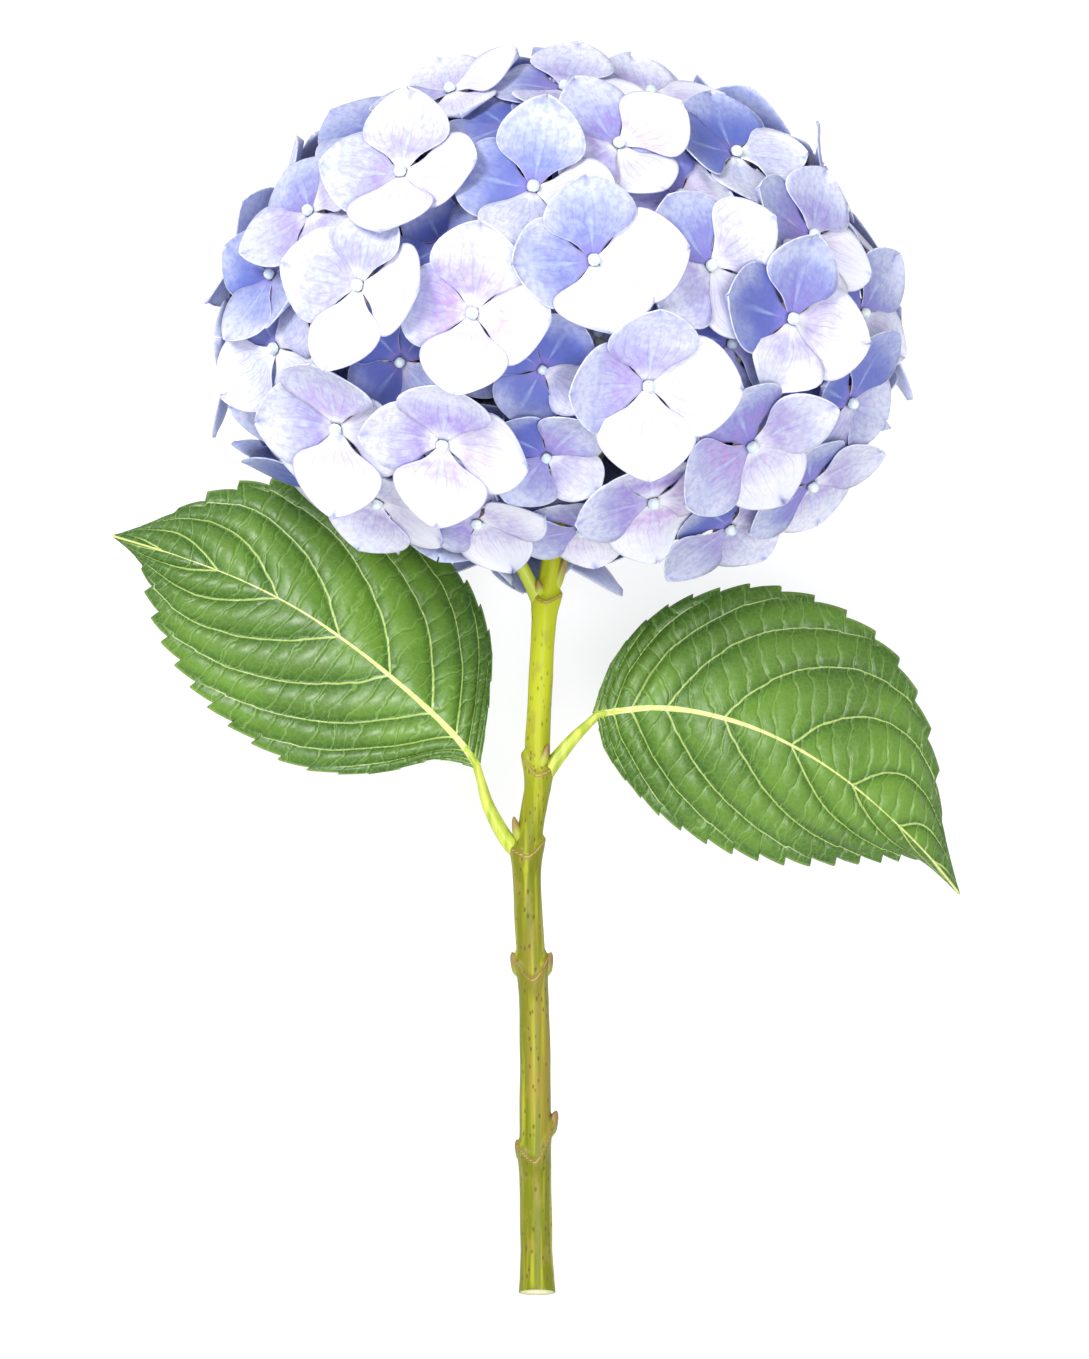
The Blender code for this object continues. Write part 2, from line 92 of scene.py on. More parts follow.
def grid_faces(rows, columns, start=0, round_about=False, turned=False):
    """Four-sided faces between the points of a grid, closed on itself if it goes round about."""
    faces = []
    for i in range(rows - 1):
        for j in range(columns if round_about else columns - 1):
            a, b = start + i * columns + j, start + i * columns + (j + 1) % columns
            face = (a, b, b + columns, a + columns)
            faces.append(face[::-1] if turned else face)
    return faces


def turns_round(sides):
    return np.linspace(0.0, math.tau, sides, endpoint=False)


def stem_tube():
    heights = np.arange(0.0, STEM_HEIGHTS[-1], RING_STEP)[:, None]
    turns = turns_round(STEM_SIDES)[None, :]
    radius = np.interp(heights, STEM_HEIGHTS, STEM_RADII) + 0.0 * turns
    scars = np.zeros_like(radius)
    for scar, climb_left, climb_right in STEM_JOINTS:
        climb = np.where(np.cos(turns) > 0, climb_right, climb_left) * np.abs(np.cos(turns)) ** SCAR_BOW
        above = heights - scar - climb
        radius = radius + SCAR_FLARE * np.exp(-((above / np.where(above > 0, SCAR_ABOVE, SCAR_BELOW)) ** 2))
        scars = np.maximum(scars, np.exp(-((above / SCAR_LINE) ** 2)))
    radius = radius + RIB_DEPTH * np.sin(RIBS * turns + heights / RIB_DRIFT)
    radius = radius + RIPPLE_DEPTH * np.sin(heights / RIPPLE_LENGTH + 2 * turns)
    middle = np.interp(heights, STEM_HEIGHTS, STEM_SWAY)
    x = middle + radius * np.cos(turns)
    z = radius * np.sin(turns)
    y = heights + CUT_SLANT * (z + CUT_RADIUS) * np.maximum(1.0 - heights / CUT_BLEND, 0.0)
    points = np.stack([x, y, z], axis=2)
    faces = grid_faces(len(heights), STEM_SIDES, round_about=True, turned=True)
    faces.append(tuple(range((len(heights) - 1) * STEM_SIDES, len(heights) * STEM_SIDES)))
    return points.reshape(-1, 3), faces, {"scar": scars}


stem_bark = grow("stem_bark", *stem_tube())


class Paint:
    """A material built up from shader nodes, with short ways to add the usual ones."""

    def __init__(self, name):
        self.material = bpy.data.materials.new(name)
        self.material.use_nodes = True
        self.tree = self.material.node_tree
        self.tree.nodes.clear()

    def node(self, kind, settings=None, inputs=None):
        made = self.tree.nodes.new(kind)
        for key, value in (settings or {}).items():
            setattr(made, key, value)
        for key, value in (inputs or {}).items():
            socket = made.inputs[key]
            if isinstance(value, bpy.types.NodeSocket):
                self.tree.links.new(value, socket)
            elif socket.type == "RGBA":
                socket.default_value = (*value, 1.0)
            else:
                socket.default_value = value
        return made

    def mark(self, name):
        return self.node("ShaderNodeAttribute", {"attribute_name": name}).outputs["Fac"]

    def place(self, stretch=(1.0, 1.0, 1.0)):
        """Where a point of the plant is, in its own frame."""
        here = self.node("ShaderNodeTexCoord").outputs["Object"]
        unlaid = {"Vector": here, "Location": tuple(FOOT * MM), "Rotation": (LAY_TILT, 0.0, 0.0)}
        here = self.node("ShaderNodeMapping", {"vector_type": "TEXTURE"}, unlaid).outputs["Vector"]
        return self.node("ShaderNodeMapping", None, {"Vector": here, "Scale": stretch}).outputs["Vector"]

    def height(self):
        """How far up the plant a point is, in metres."""
        return self.node("ShaderNodeSeparateXYZ", None, {0: self.place()}).outputs[1]

    def sums(self, operation, a, b=0.0, c=0.0):
        return self.node("ShaderNodeMath", {"operation": operation}, {0: a, 1: b, 2: c}).outputs[0]

    def times(self, a, b):
        return self.sums("MULTIPLY", a, b)

    def lines(self, way):
        """A wave that falls to nought on evenly spaced lines."""
        return self.sums("ABSOLUTE", self.sums("SINE", way))

    def noise(self, vector, scale, detail=3.0, roughness=0.5):
        inputs = {"Vector": vector, "Scale": scale, "Detail": detail, "Roughness": roughness}
        return self.node("ShaderNodeTexNoise", None, inputs).outputs["Fac"]

    def fibre(self, stretch, detail, roughness=0.5):
        """Noise with its own scale each way, for streaks that follow the plant."""
        return self.noise(self.place(stretch), 1.0, detail, roughness)

    def cells(self, vector, scale, feature="F1"):
        inputs = {"Vector": vector, "Scale": scale}
        return self.node("ShaderNodeTexVoronoi", {"feature": feature}, inputs).outputs["Distance"]

    def range(self, value, low, high, to_low=0.0, to_high=1.0):
        inputs = {"Value": value, "From Min": low, "From Max": high, "To Min": to_low, "To Max": to_high}
        return self.node("ShaderNodeMapRange", {"interpolation_type": "SMOOTHSTEP"}, inputs).outputs[0]

    def mix(self, share, a, b):
        settings = {"data_type": "RGBA", "clamp_factor": True}
        return self.node("ShaderNodeMix", settings, {0: share, 6: a, 7: b}).outputs[2]

    def coats(self, colour, *coats):
        """A colour with each coat laid over it in turn, given as how much of it and its tint."""
        for share, tint in coats:
            colour = self.mix(share, colour, tint)
        return colour

    def bump(self, height, strength, distance, onto=None):
        inputs = {"Height": height, "Strength": strength, "Distance": distance}
        if onto is not None:
            inputs["Normal"] = onto
        return self.node("ShaderNodeBump", None, inputs).outputs["Normal"]

    def surface(self, colour, roughness, normal=None, glow=None, glow_share=0.0, **constants):
        """Ends the material: a coated surface, with some light let through where it is thin."""
        inputs = {"Base Color": colour, "Roughness": roughness}
        inputs.update({key.replace("_", " "): value for key, value in constants.items()})
        if normal is not None:
            inputs["Normal"] = normal
        shader = self.node("ShaderNodeBsdfPrincipled", None, inputs).outputs[0]
        if glow is not None:
            through = {"Color": glow}
            if normal is not None:
                through["Normal"] = normal
            lit = self.node("ShaderNodeBsdfTranslucent", None, through).outputs[0]
            shader = self.node("ShaderNodeMixShader", None, {0: glow_share, 1: shader, 2: lit}).outputs[0]
        self.node("ShaderNodeOutputMaterial", None, {"Surface": shader})
        return self.material


bark = Paint("green bark")
height = bark.height()
streaks = bark.fibre((560.0, 18.0, 560.0), 4.0)
mottle = bark.range(bark.fibre((330.0, 130.0, 330.0), 4.0, 0.6), 0.52, 0.66, 0.0, 0.6)
mottle = bark.times(mottle, bark.range(height, 0.12, 0.18, 1.0, 0.3))
tan = bark.range(bark.fibre((140.0, 16.0, 140.0), 2.0), 0.56, 0.74, 0.0, 0.55)
tan = bark.times(tan, bark.range(height, 0.10, 0.16, 1.0, 0.25))
lenticel = bark.range(bark.cells(bark.place((760.0, 330.0, 760.0)), 1.0), 0.10, 0.26, 1.0, 0.0)
lenticel = bark.times(lenticel, bark.range(height, 0.11, 0.19, 0.8, 0.15))
scar = bark.mark("scar")
green = bark.coats(
    OLD_BARK, (bark.range(height, 0.10, 0.165), YOUNG_BARK),
    (bark.range(streaks, 0.46, 0.70, 0.0, 0.7), YELLOW_STREAK), (mottle, OLIVE_MOTTLE),
    (tan, TAN_STREAK), (lenticel, LENTICEL_BROWN), (bark.range(scar, 0.15, 0.6, 0.0, 0.6), SCAR_BROWN),
    (bark.range(scar, 0.75, 0.95, 0.0, 0.75), SCAR_CORK),
)
rough = bark.range(streaks, 0.3, 0.8, 0.36, 0.55)
ridges = bark.bump(lenticel, 0.5, 0.0003, bark.bump(streaks, 0.35, 0.0004))
stem_bark.data.materials.append(bark.surface(green, rough, ridges, Specular_IOR_Level=0.2))
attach(stem_bark, "root")
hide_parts("stem")


# The cut end of the stem: a ring of green rind round pale damp wood, with a soft cream pith in the
# middle. It was made with one slanting stroke of the secateurs and has dished a little as it dried.
CUT_RINGS, CUT_SIDES = 25, 64
PITH_RISE, WOOD_DIP = 0.32, 0.12
CREAM_PITH, PALE_WOOD = (0.80, 0.76, 0.56), (0.62, 0.60, 0.30)
DAMP_WOOD, RIND = (0.48, 0.40, 0.20), (0.24, 0.29, 0.05)
cut_rings = np.linspace(0.0, 1.0, CUT_RINGS + 1)[1:]
cut_turns = turns_round(CUT_SIDES)
cut_points = [(0.0, PITH_RISE + CUT_SLANT * CUT_RADIUS, 0.0)]
for share in cut_rings:
    dish = PITH_RISE * math.cos(0.5 * math.pi * share) - WOOD_DIP * math.sin(math.pi * share)
    for turn in cut_turns:
        up = CUT_RADIUS * share * math.sin(turn)
        cut_points.append((CUT_RADIUS * share * math.cos(turn), dish + CUT_SLANT * (up + CUT_RADIUS), up))
cut_faces = [(0, 1 + k, 1 + (k + 1) % CUT_SIDES) for k in range(CUT_SIDES)]
cut_faces += grid_faces(CUT_RINGS, CUT_SIDES, start=1, round_about=True, turned=True)
cut_share = [0.0] + [share for share in cut_rings for _ in cut_turns]
cut_end = grow("cut_end", cut_points, cut_faces, {"out": cut_share})

wood = Paint("cut wood")
out = wood.mark("out")
grain = wood.fibre((1800.0, 1800.0, 1800.0), 4.0)
cream = wood.coats(
    CREAM_PITH, (wood.range(out, 0.52, 0.62), PALE_WOOD),
    (wood.range(grain, 0.4, 0.75, 0.0, 0.4), DAMP_WOOD), (wood.range(out, 0.86, 0.94), RIND),
)
cut_end.data.materials.append(wood.surface(cream, 0.7, wood.bump(grain, 0.5, 0.0003)))
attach(cut_end, "root")


# The buds and the trimmed stubs. Each dropped leaf left a small pointed bud in its angle, brown at
# the tip; the two leaves at the top joint were snipped off a finger's breadth from the stem.
BUDS = (
    ((-2.6, 32.0, 0.0), (-4.9, 38.0, 0.4), 1.75), ((2.4, 38.0, 0.0), (4.7, 45.0, 0.4), 1.75),
    ((-3.6, 76.5, 0.0), (-6.0, 83.0, 0.4), 1.75), ((1.4, 76.5, 0.0), (3.4, 83.0, 0.4), 1.75),
    ((-4.3, 109.4, 1.4), (-5.6, 115.6, 1.9), 1.25), ((0.8, 127.0, 2.2), (2.7, 132.8, 3.0), 1.25),
    ((0.9, 168.5, 2.0), (0.2, 172.4, 3.4), 1.2), ((3.2, 167.5, 0.0), (7.6, 179.6, 1.5), 1.6),
)
CUT_STUB = ((1.2, 166.0, 0.4), (-1.6, 171.5, 1.2), (-4.4, 177.0, 2.4), (-6.3, 182.0, 3.4))
STUB_RADII = (2.2, 1.7, 1.6, 1.45)
BUD_RINGS, STUB_RINGS, BUD_SIDES = 14, 20, 16
BUD_TAPER = 1.7
BUD_FOOT, BUD_FOOT_SHARE = 0.35, 0.35
STUB_CUT, STUB_BROWNING = 0.98, 0.55
LOW_BUD, HIGH_BUD, BUD_BROWN = (0.21, 0.25, 0.03), (0.42, 0.50, 0.04), (0.21, 0.11, 0.035)


def gather(parts):
    """One list of points and one of faces from several shapes."""
    points, faces, start = [], [], 0
    for more_points, more_faces in parts:
        points.append(np.asarray(more_points, float))
        faces += [tuple(start + k for k in face) for face in more_faces]
        start += len(more_points)
    return np.concatenate(points), faces


def along(points, share):
    """Places at the given shares of a smooth line through a list of points."""
    points = np.asarray(points, float)
    last = len(points) - 1
    place = np.clip(np.asarray(share, float), 0.0, 1.0) * last
    start = np.minimum(place.astype(int), last - 1)
    t = (place - start)[..., None]
    before, p, q, after = (points[np.clip(start + k, 0, last)] for k in (-1, 0, 1, 2))
    bend = 2 * before - 5 * p + 4 * q - after + t * (3 * (p - q) + after - before)
    return p + 0.5 * t * (q - before + t * bend)


def rod(path, radii, sides):
    """A round rod along a path, closed at both ends."""
    path = np.asarray(path, float)
    runs = np.gradient(path, axis=0)
    runs /= np.linalg.norm(runs, axis=1, keepdims=True)
    side = np.cross(runs, (0.12, 0.0, 1.0))
    side /= np.linalg.norm(side, axis=1, keepdims=True)
    other = np.cross(runs, side)
    turns = turns_round(sides)
    rings = path[:, None] + np.asarray(radii, float)[:, None, None] * (
        np.cos(turns)[None, :, None] * side[:, None] + np.sin(turns)[None, :, None] * other[:, None]
    )
    faces = grid_faces(len(path), sides, round_about=True)
    top = (len(path) - 1) * sides
    faces += [tuple(reversed(range(sides))), tuple(range(top, top + sides))]
    return rings.reshape(-1, 3), faces


bud_shapes, bud_tips = [], []
for base, tip, wide in BUDS:
    shares = np.linspace(0.0, 1.0, BUD_RINGS)
    path = np.outer(1 - shares, base) + np.outer(shares, tip)
    radii = wide * np.sqrt(np.maximum(1.0 - shares**BUD_TAPER, 0.004))
    radii = radii * np.interp(shares, (0.0, BUD_FOOT_SHARE), (BUD_FOOT, 1.0))
    bud_shapes.append(rod(path, radii, BUD_SIDES))
    bud_tips += [share for share in shares for _ in range(BUD_SIDES)]
stub_shares = np.linspace(0.0, 1.0, STUB_RINGS)
stub_radii = np.interp(stub_shares, (0, 0.3, 0.97, 1), STUB_RADII)
bud_shapes.append(rod(along(CUT_STUB, stub_shares), stub_radii, BUD_SIDES))
bud_tips += [STUB_BROWNING * (share > STUB_CUT) for share in stub_shares for _ in range(BUD_SIDES)]
buds = grow("buds_and_stubs", *gather(bud_shapes), {"tip": bud_tips})

bud_skin = Paint("bud scale")
fleck = bud_skin.fibre((700.0, 300.0, 700.0), 3.0)
browning = bud_skin.range(bud_skin.mark("tip"), 0.15, 0.85)
browning = bud_skin.times(browning, bud_skin.range(fleck, 0.2, 0.6, 0.5, 1.0))
youth = bud_skin.range(bud_skin.height(), 0.05, 0.16)
skin = bud_skin.coats(LOW_BUD, (youth, HIGH_BUD), (browning, BUD_BROWN))
buds.data.materials.append(bud_skin.surface(skin, 0.5, bud_skin.bump(fleck, 0.3, 0.0003)))
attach(buds, "root")


# The leaves. Each is one broad blade, quilted between its side veins, with a coarse toothed edge and
# a drawn-out tip. The veins are pale and run forward from the midrib; a fine net joins them. The
# lines of a leaf are its midrib and its two edges, from the stalk to the tip.
LEAF_LINES = {
    "left": (
        ((-14.5, 127.8, -4), (-18.6, 133.4, -6), (-25.2, 140.1, -9),
         (-34.5, 148.2, -13), (-44.5, 156.1, -17), (-57.3, 164.8, -22),
         (-72.0, 172.4, -28), (-89.1, 179.0, -35), (-106.5, 184.4, -43)),
        ((-13.7, 128.2, -4), (-11.5, 144.7, -12), (-11.7, 158.7, -20),
         (-18.6, 173.2, -28), (-34.1, 185.7, -34), (-49.8, 193.6, -37),
         (-69.2, 197.4, -39), (-88.0, 191.6, -41), (-106.5, 184.4, -43)),
        ((-15.5, 127.2, -4), (-24.2, 129.1, -6), (-38.8, 125.8, -10),
         (-56.8, 127.1, -16), (-72.6, 135.8, -22), (-84.3, 147.0, -28),
         (-93.0, 160.4, -33), (-98.0, 175.0, -39), (-106.5, 184.4, -43)),
    ),
    "right": (
        ((14.2, 139.9, 0), (20.4, 140.9, 1), (28.4, 141.6, 2), (38.4, 140.6, 2), (50.6, 137.3, 1),
         (62.6, 131.8, -2), (74.4, 124.2, -6), (85.4, 115.1, -11), (95.6, 105.3, -17), (103.9, 95.5, -24)),
        ((13.6, 140.9, 0), (18.0, 152.6, -1), (27.5, 163.2, -3), (39.8, 168.8, -5), (55.1, 170.6, -8),
         (72.1, 165.6, -11), (86.4, 154.2, -14), (95.1, 136.3, -17), (99.1, 114.9, -20), (103.9, 95.5, -24)),
        ((14.8, 138.9, 0), (16.1, 132.0, 0), (22.1, 123.6, -2), (31.3, 115.0, -5), (44.2, 108.4, -8),
         (57.6, 105.1, -11), (70.9, 104.6, -13), (83.2, 105.2, -15), (92.9, 104.4, -19), (103.9, 95.5, -24)),
    ),
}
LEAF_STALKS = {
    "left": ((-2.3, 105.5, 0.0), (-6.9, 109.5, -0.6), (-11.5, 117.5, -2.6), (-13.5, 124.0, -4.2)),
    "right": ((0.2, 123.0, 0.0), (3.4, 127.6, 0.2), (8.2, 133.6, 0.2), (12.4, 137.8, -0.6)),
}
LEAF_TEETH = 19
TOOTH = 2.1
TOOTH_CREST, TOOTH_SWELL, TOOTH_INSET, TOOTH_LEAN = 0.82, 0.75, 0.6, 0.8
VEIN_STARTS = (0.0, 0.03, 0.08, 0.15, 0.26, 0.40, 0.55, 0.69, 0.81, 0.91)
VEIN_SWEEP = 1.4
VEIN_ARCH = 1.5
RUNG_SPACING = 4.3
RUNG_SLANT = math.radians(15)
RUNG_STEP = 0.37
QUILT_RISE, RUNG_RISE, MIDRIB_RISE = 1.7, 0.35, 0.30
WAVE_RISE, WAVE_TURNS = 0.7, 23.0
FULL_WIDTH = 20.0
LEAF_ROWS = 300
LEAF_COLUMNS = 81
LEAF_THICK = 0.42
LEAF_STALK_RINGS, MIDRIB_RINGS, LEAF_STALK_SIDES = 22, 90, 16
LEAF_STALK_RADII = (2.5, 2.05, 1.75, 1.05)
MIDRIB_RADII = (1.00, 0.65, 0.25)
MIDRIB_SINK = 0.75
# The shade in the grooves beside the side veins and the light on the tops of the quilted bulges are painted
# into the leaf's colour.
DARK_LEAF, BRIGHT_LEAF, VEIN_SHADE = (0.036, 0.106, 0.004), (0.096, 0.215, 0.012), (0.015, 0.060, 0.002)
QUILT_TOP_HIGHLIGHT, FINE_NET, COARSE_NET = (0.165, 0.275, 0.050), (0.16, 0.32, 0.07), (0.18, 0.34, 0.07)
RUNG_PALE, EDGE_PALE = (0.25, 0.42, 0.11), (0.30, 0.46, 0.10)
VEIN_PALE, MIDRIB_PALE = (0.42, 0.56, 0.15), (0.60, 0.64, 0.22)
UNDERSIDE, UNDER_VEIN, UNDER_NET = (0.200, 0.320, 0.090), (0.46, 0.55, 0.19), (0.34, 0.45, 0.15)
LIGHT_THROUGH_LEAF = (0.16, 0.38, 0.02)
STALK_GREEN, STALK_PALE = (0.29, 0.38, 0.022), (0.50, 0.55, 0.075)


def sheet(grid, thickness, up=(0.0, 0.0, 1.0)):
    """A thin closed sheet about a grid of points, its upper side first."""
    rows, columns = grid.shape[:2]
    normal = np.cross(np.gradient(grid, axis=0), np.gradient(grid, axis=1))
    normal /= np.linalg.norm(normal, axis=2, keepdims=True) + 1e-9
    normal *= np.sign((normal @ up).sum())
    top = (grid + 0.5 * thickness * normal).reshape(-1, 3)
    bottom = (grid - 0.5 * thickness * normal).reshape(-1, 3)
    count = len(top)
    row, column = rows // 2, columns // 2
    down, over = grid[row + 1, column] - grid[row, column], grid[row, column + 1] - grid[row, column]
    turned = np.cross(down, over) @ up > 0
    faces = grid_faces(rows, columns, turned=turned)
    faces += grid_faces(rows, columns, start=count, turned=not turned)
    rim = list(range(columns)) + [i * columns + columns - 1 for i in range(1, rows)]
    rim += [(rows - 1) * columns + j for j in reversed(range(columns - 1))]
    rim += [i * columns for i in reversed(range(1, rows - 1))]
    for a, b in zip(rim, rim[1:] + rim[:1]):
        face = (a, a + count, b + count, b)
        faces.append(face[::-1] if turned else face)
    return np.concatenate([top, bottom]), faces


def leaf_blade(lines):
    """The grid of a blade, and for each point its place in the net of veins."""
    share = np.linspace(0.0, 0.996, LEAF_ROWS)
    across = np.linspace(-1.0, 1.0, LEAF_COLUMNS)
    reach = np.abs(across)[None, :]
    spine, upper, lower = (along(line, share)[:, None] for line in lines)
    edge = np.where(across[None, :, None] > 0, upper, lower)
    outward = edge - spine
    width = np.linalg.norm(outward, axis=2)
    ahead = np.gradient(spine, axis=0)
    ahead /= np.linalg.norm(ahead, axis=2, keepdims=True)
    tooth = (share * LEAF_TEETH)[:, None] % 1.0
    rising, falling = (tooth / TOOTH_CREST) ** TOOTH_SWELL, (1.0 - tooth) / (1.0 - TOOTH_CREST)
    tooth = np.where(tooth < TOOTH_CREST, rising, falling)
    tooth = TOOTH * tooth * np.interp(share, (0.0, 0.10, 0.84, 0.92), (0.0, 1.0, 0.8, 0.0))[:, None]
    outward_way = outward / np.maximum(width, 0.1)[..., None]
    shift = (tooth - TOOTH_INSET)[..., None] * (outward_way + TOOTH_LEAN * ahead)
    grid = spine + reach[..., None] * outward + shift * reach[..., None] ** 9
    starts = np.interp(share, VEIN_STARTS + (1.0,), np.arange(len(VEIN_STARTS) + 1.0))[:, None]
    phase = starts - VEIN_SWEEP * reach - VEIN_ARCH * reach**3
    between = np.abs(np.sin(math.pi * phase))
    off = across[None, :] * width
    flat = spine + reach[..., None] * outward
    down, over = np.gradient(flat, axis=0), np.gradient(flat, axis=1)
    down_phase, over_phase = np.gradient(phase)
    down_down, over_over, both = (down * down).sum(2), (over * over).sum(2), (down * over).sum(2)
    slope = down_phase**2 * over_over - 2.0 * down_phase * over_phase * both + over_phase**2 * down_down
    slope /= np.maximum(down_down * over_over - both**2, 1e-9)
    apart = np.clip(1.0 / np.sqrt(np.maximum(slope, 1e-9)), 0.6, 25.0)
    steps = np.linalg.norm(np.diff(spine[:, 0], axis=0), axis=1)
    run = np.concatenate([[0.0], np.cumsum(steps)])[:, None]
    rung = (run * math.cos(RUNG_SLANT) + np.abs(off) * math.sin(RUNG_SLANT)) / RUNG_SPACING
    rungs = np.abs(np.sin(math.pi * (rung + RUNG_STEP * np.floor(phase))))
    narrow = np.minimum(width / FULL_WIDTH, 1.0)
    room = narrow * np.sin(math.pi * reach**0.8) ** 0.7
    puff = QUILT_RISE * between**0.7 * room + RUNG_RISE * rungs**0.7 * between**0.6 * room
    midrib_width = np.interp(share, (0, 0.5, 1), (0.8, 0.45, 0.2))[:, None]
    puff += MIDRIB_RISE * np.exp(-((off / midrib_width) ** 2))
    wave = WAVE_RISE * np.sin(share * WAVE_TURNS)[:, None] * reach**4 * narrow
    grid[..., 2] += puff + wave
    marks = {"phase": phase, "apart": apart, "rung": rung, "off": off, "reach": reach,
             "along": share[:, None], "between": between * room}
    return grid, {name: np.broadcast_to(values, phase.shape) for name, values in marks.items()}


leaf = Paint("leaf blade")
phase, off, reach, length = leaf.mark("phase"), leaf.mark("off"), leaf.mark("reach"), leaf.mark("along")
under, between = leaf.mark("under"), leaf.mark("between")
here = leaf.place()
stray = leaf.noise(here, 150.0, 2.0)
midrib = leaf.sums("SUBTRACT", leaf.sums("ABSOLUTE", off), leaf.range(length, 0.0, 0.85, 0.80, 0.13))
midrib = leaf.range(midrib, -0.10, 0.12, 1.0, 0.0)
vein_way = leaf.sums("MULTIPLY_ADD", stray, 0.12, phase)
vein_off = leaf.lines(leaf.times(vein_way, math.pi))
vein_off = leaf.times(vein_off, leaf.times(leaf.mark("apart"), 1.0 / math.pi))
side_vein = leaf.sums("SUBTRACT", vein_off, leaf.range(reach, 0.0, 0.9, 0.24, 0.09))
side_vein = leaf.times(leaf.range(side_vein, -0.08, 0.12, 1.0, 0.0), leaf.range(reach, 0.97, 0.88))
side_vein = leaf.times(side_vein, leaf.range(length, 0.97, 0.92))
rung_way = leaf.sums("MULTIPLY_ADD", leaf.noise(here, 90.0, 3.0), 1.9, leaf.mark("rung"))
rung_way = leaf.sums("MULTIPLY_ADD", leaf.sums("FLOOR", vein_way), RUNG_STEP, rung_way)
rung_room = leaf.lines(leaf.times(rung_way, math.pi))
rungs = leaf.range(rung_room, 0.0, 0.20, 0.9, 0.0)
fork_way = leaf.sums("MULTIPLY_ADD", stray, 1.6, leaf.times(rung_way, math.tau))
forks = leaf.range(leaf.lines(fork_way), 0.0, 0.24, 1.0, 0.0)
forks = leaf.times(forks, leaf.range(leaf.noise(here, 110.0, 1.0), 0.50, 0.60))
rungs = leaf.sums("MAXIMUM", rungs, forks)
net = leaf.range(leaf.cells(here, 560.0, "DISTANCE_TO_EDGE"), 0.0, 0.13, 1.0, 0.0)
fine = leaf.range(leaf.cells(here, 1500.0, "DISTANCE_TO_EDGE"), 0.0, 0.22, 1.0, 0.0)
# Painted shade darkens the grooves beside the side veins, and a painted highlight lightens the tops of the
# quilted bulges between them.
green = leaf.coats(
    DARK_LEAF, (leaf.range(leaf.noise(here, 38.0, 3.0), 0.35, 0.68), BRIGHT_LEAF),
    (leaf.range(vein_off, 0.3, 2.4, 0.65, 0.0), VEIN_SHADE), (leaf.times(between, 0.30), QUILT_TOP_HIGHLIGHT),
    (leaf.times(fine, 0.10), FINE_NET), (leaf.times(net, 0.20), COARSE_NET),
    (leaf.times(rungs, 0.42), RUNG_PALE), (leaf.range(reach, 0.975, 1.0, 0.0, 0.6), EDGE_PALE),
    (leaf.times(side_vein, 0.9), VEIN_PALE), (midrib, MIDRIB_PALE),
)
back = leaf.coats(
    UNDERSIDE, (leaf.sums("MAXIMUM", side_vein, midrib), UNDER_VEIN),
    (leaf.times(leaf.sums("MAXIMUM", net, rungs), 0.4), UNDER_NET),
)
green = leaf.mix(under, green, back)
gloss = leaf.range(leaf.noise(here, 420.0, 3.0), 0.3, 0.7, 0.34, 0.46)
gloss = leaf.sums("MULTIPLY_ADD", under, 0.3, gloss)
relief = leaf.bump(leaf.range(rung_room, 0.0, 0.55), 0.40, 0.0006)
relief = leaf.bump(leaf.sums("MAXIMUM", net, leaf.times(fine, 0.5)), -0.45, 0.0004, relief)
relief = leaf.bump(leaf.noise(here, 900.0, 2.0), 0.25, 0.0002, relief)
leaf_glow = leaf.mix(0.5, green, LIGHT_THROUGH_LEAF)
leaf_green = leaf.surface(green, gloss, relief, leaf_glow, 0.08, Specular_IOR_Level=0.5)

stalk = Paint("leaf stalk")
ribbing = stalk.fibre((500.0, 60.0, 500.0), 3.0)
pale = stalk.mix(stalk.range(ribbing, 0.35, 0.7), STALK_GREEN, STALK_PALE)
stalk_green = stalk.surface(pale, 0.42, stalk.bump(ribbing, 0.3, 0.0003))

for side, lines in LEAF_LINES.items():
    grid, marks = leaf_blade(lines)
    points, faces = sheet(grid, LEAF_THICK)
    marks = {name: np.concatenate([values.ravel()] * 2) for name, values in marks.items()}
    marks["under"] = np.repeat([0.0, 1.0], grid.shape[0] * grid.shape[1])
    blade = grow(side + "_leaf_blade", points, faces, marks)
    blade.data.materials.append(leaf_green)
    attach(blade, "root")
    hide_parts("leaf_" + side)
    stalk_shares = np.linspace(0.0, 1.0, LEAF_STALK_RINGS)
    rib_shares = np.linspace(0.0, 1.0, MIDRIB_RINGS)
    ribs = along(lines[0], np.linspace(0.012, 0.94, MIDRIB_RINGS))
    ribs[:, 2] -= np.interp(rib_shares, (0, 0.22), (0.0, MIDRIB_SINK))
    path = np.concatenate([along(LEAF_STALKS[side], stalk_shares), ribs])
    radii = np.concatenate([np.interp(stalk_shares, (0, 0.2, 0.5, 1), LEAF_STALK_RADII),
                            np.interp(rib_shares, (0, 0.3, 1), MIDRIB_RADII)])
    petiole = grow(side + "_leaf_stalk", *rod(path, radii, LEAF_STALK_SIDES))
    petiole.data.materials.append(stalk_green)
    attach(petiole, "root")
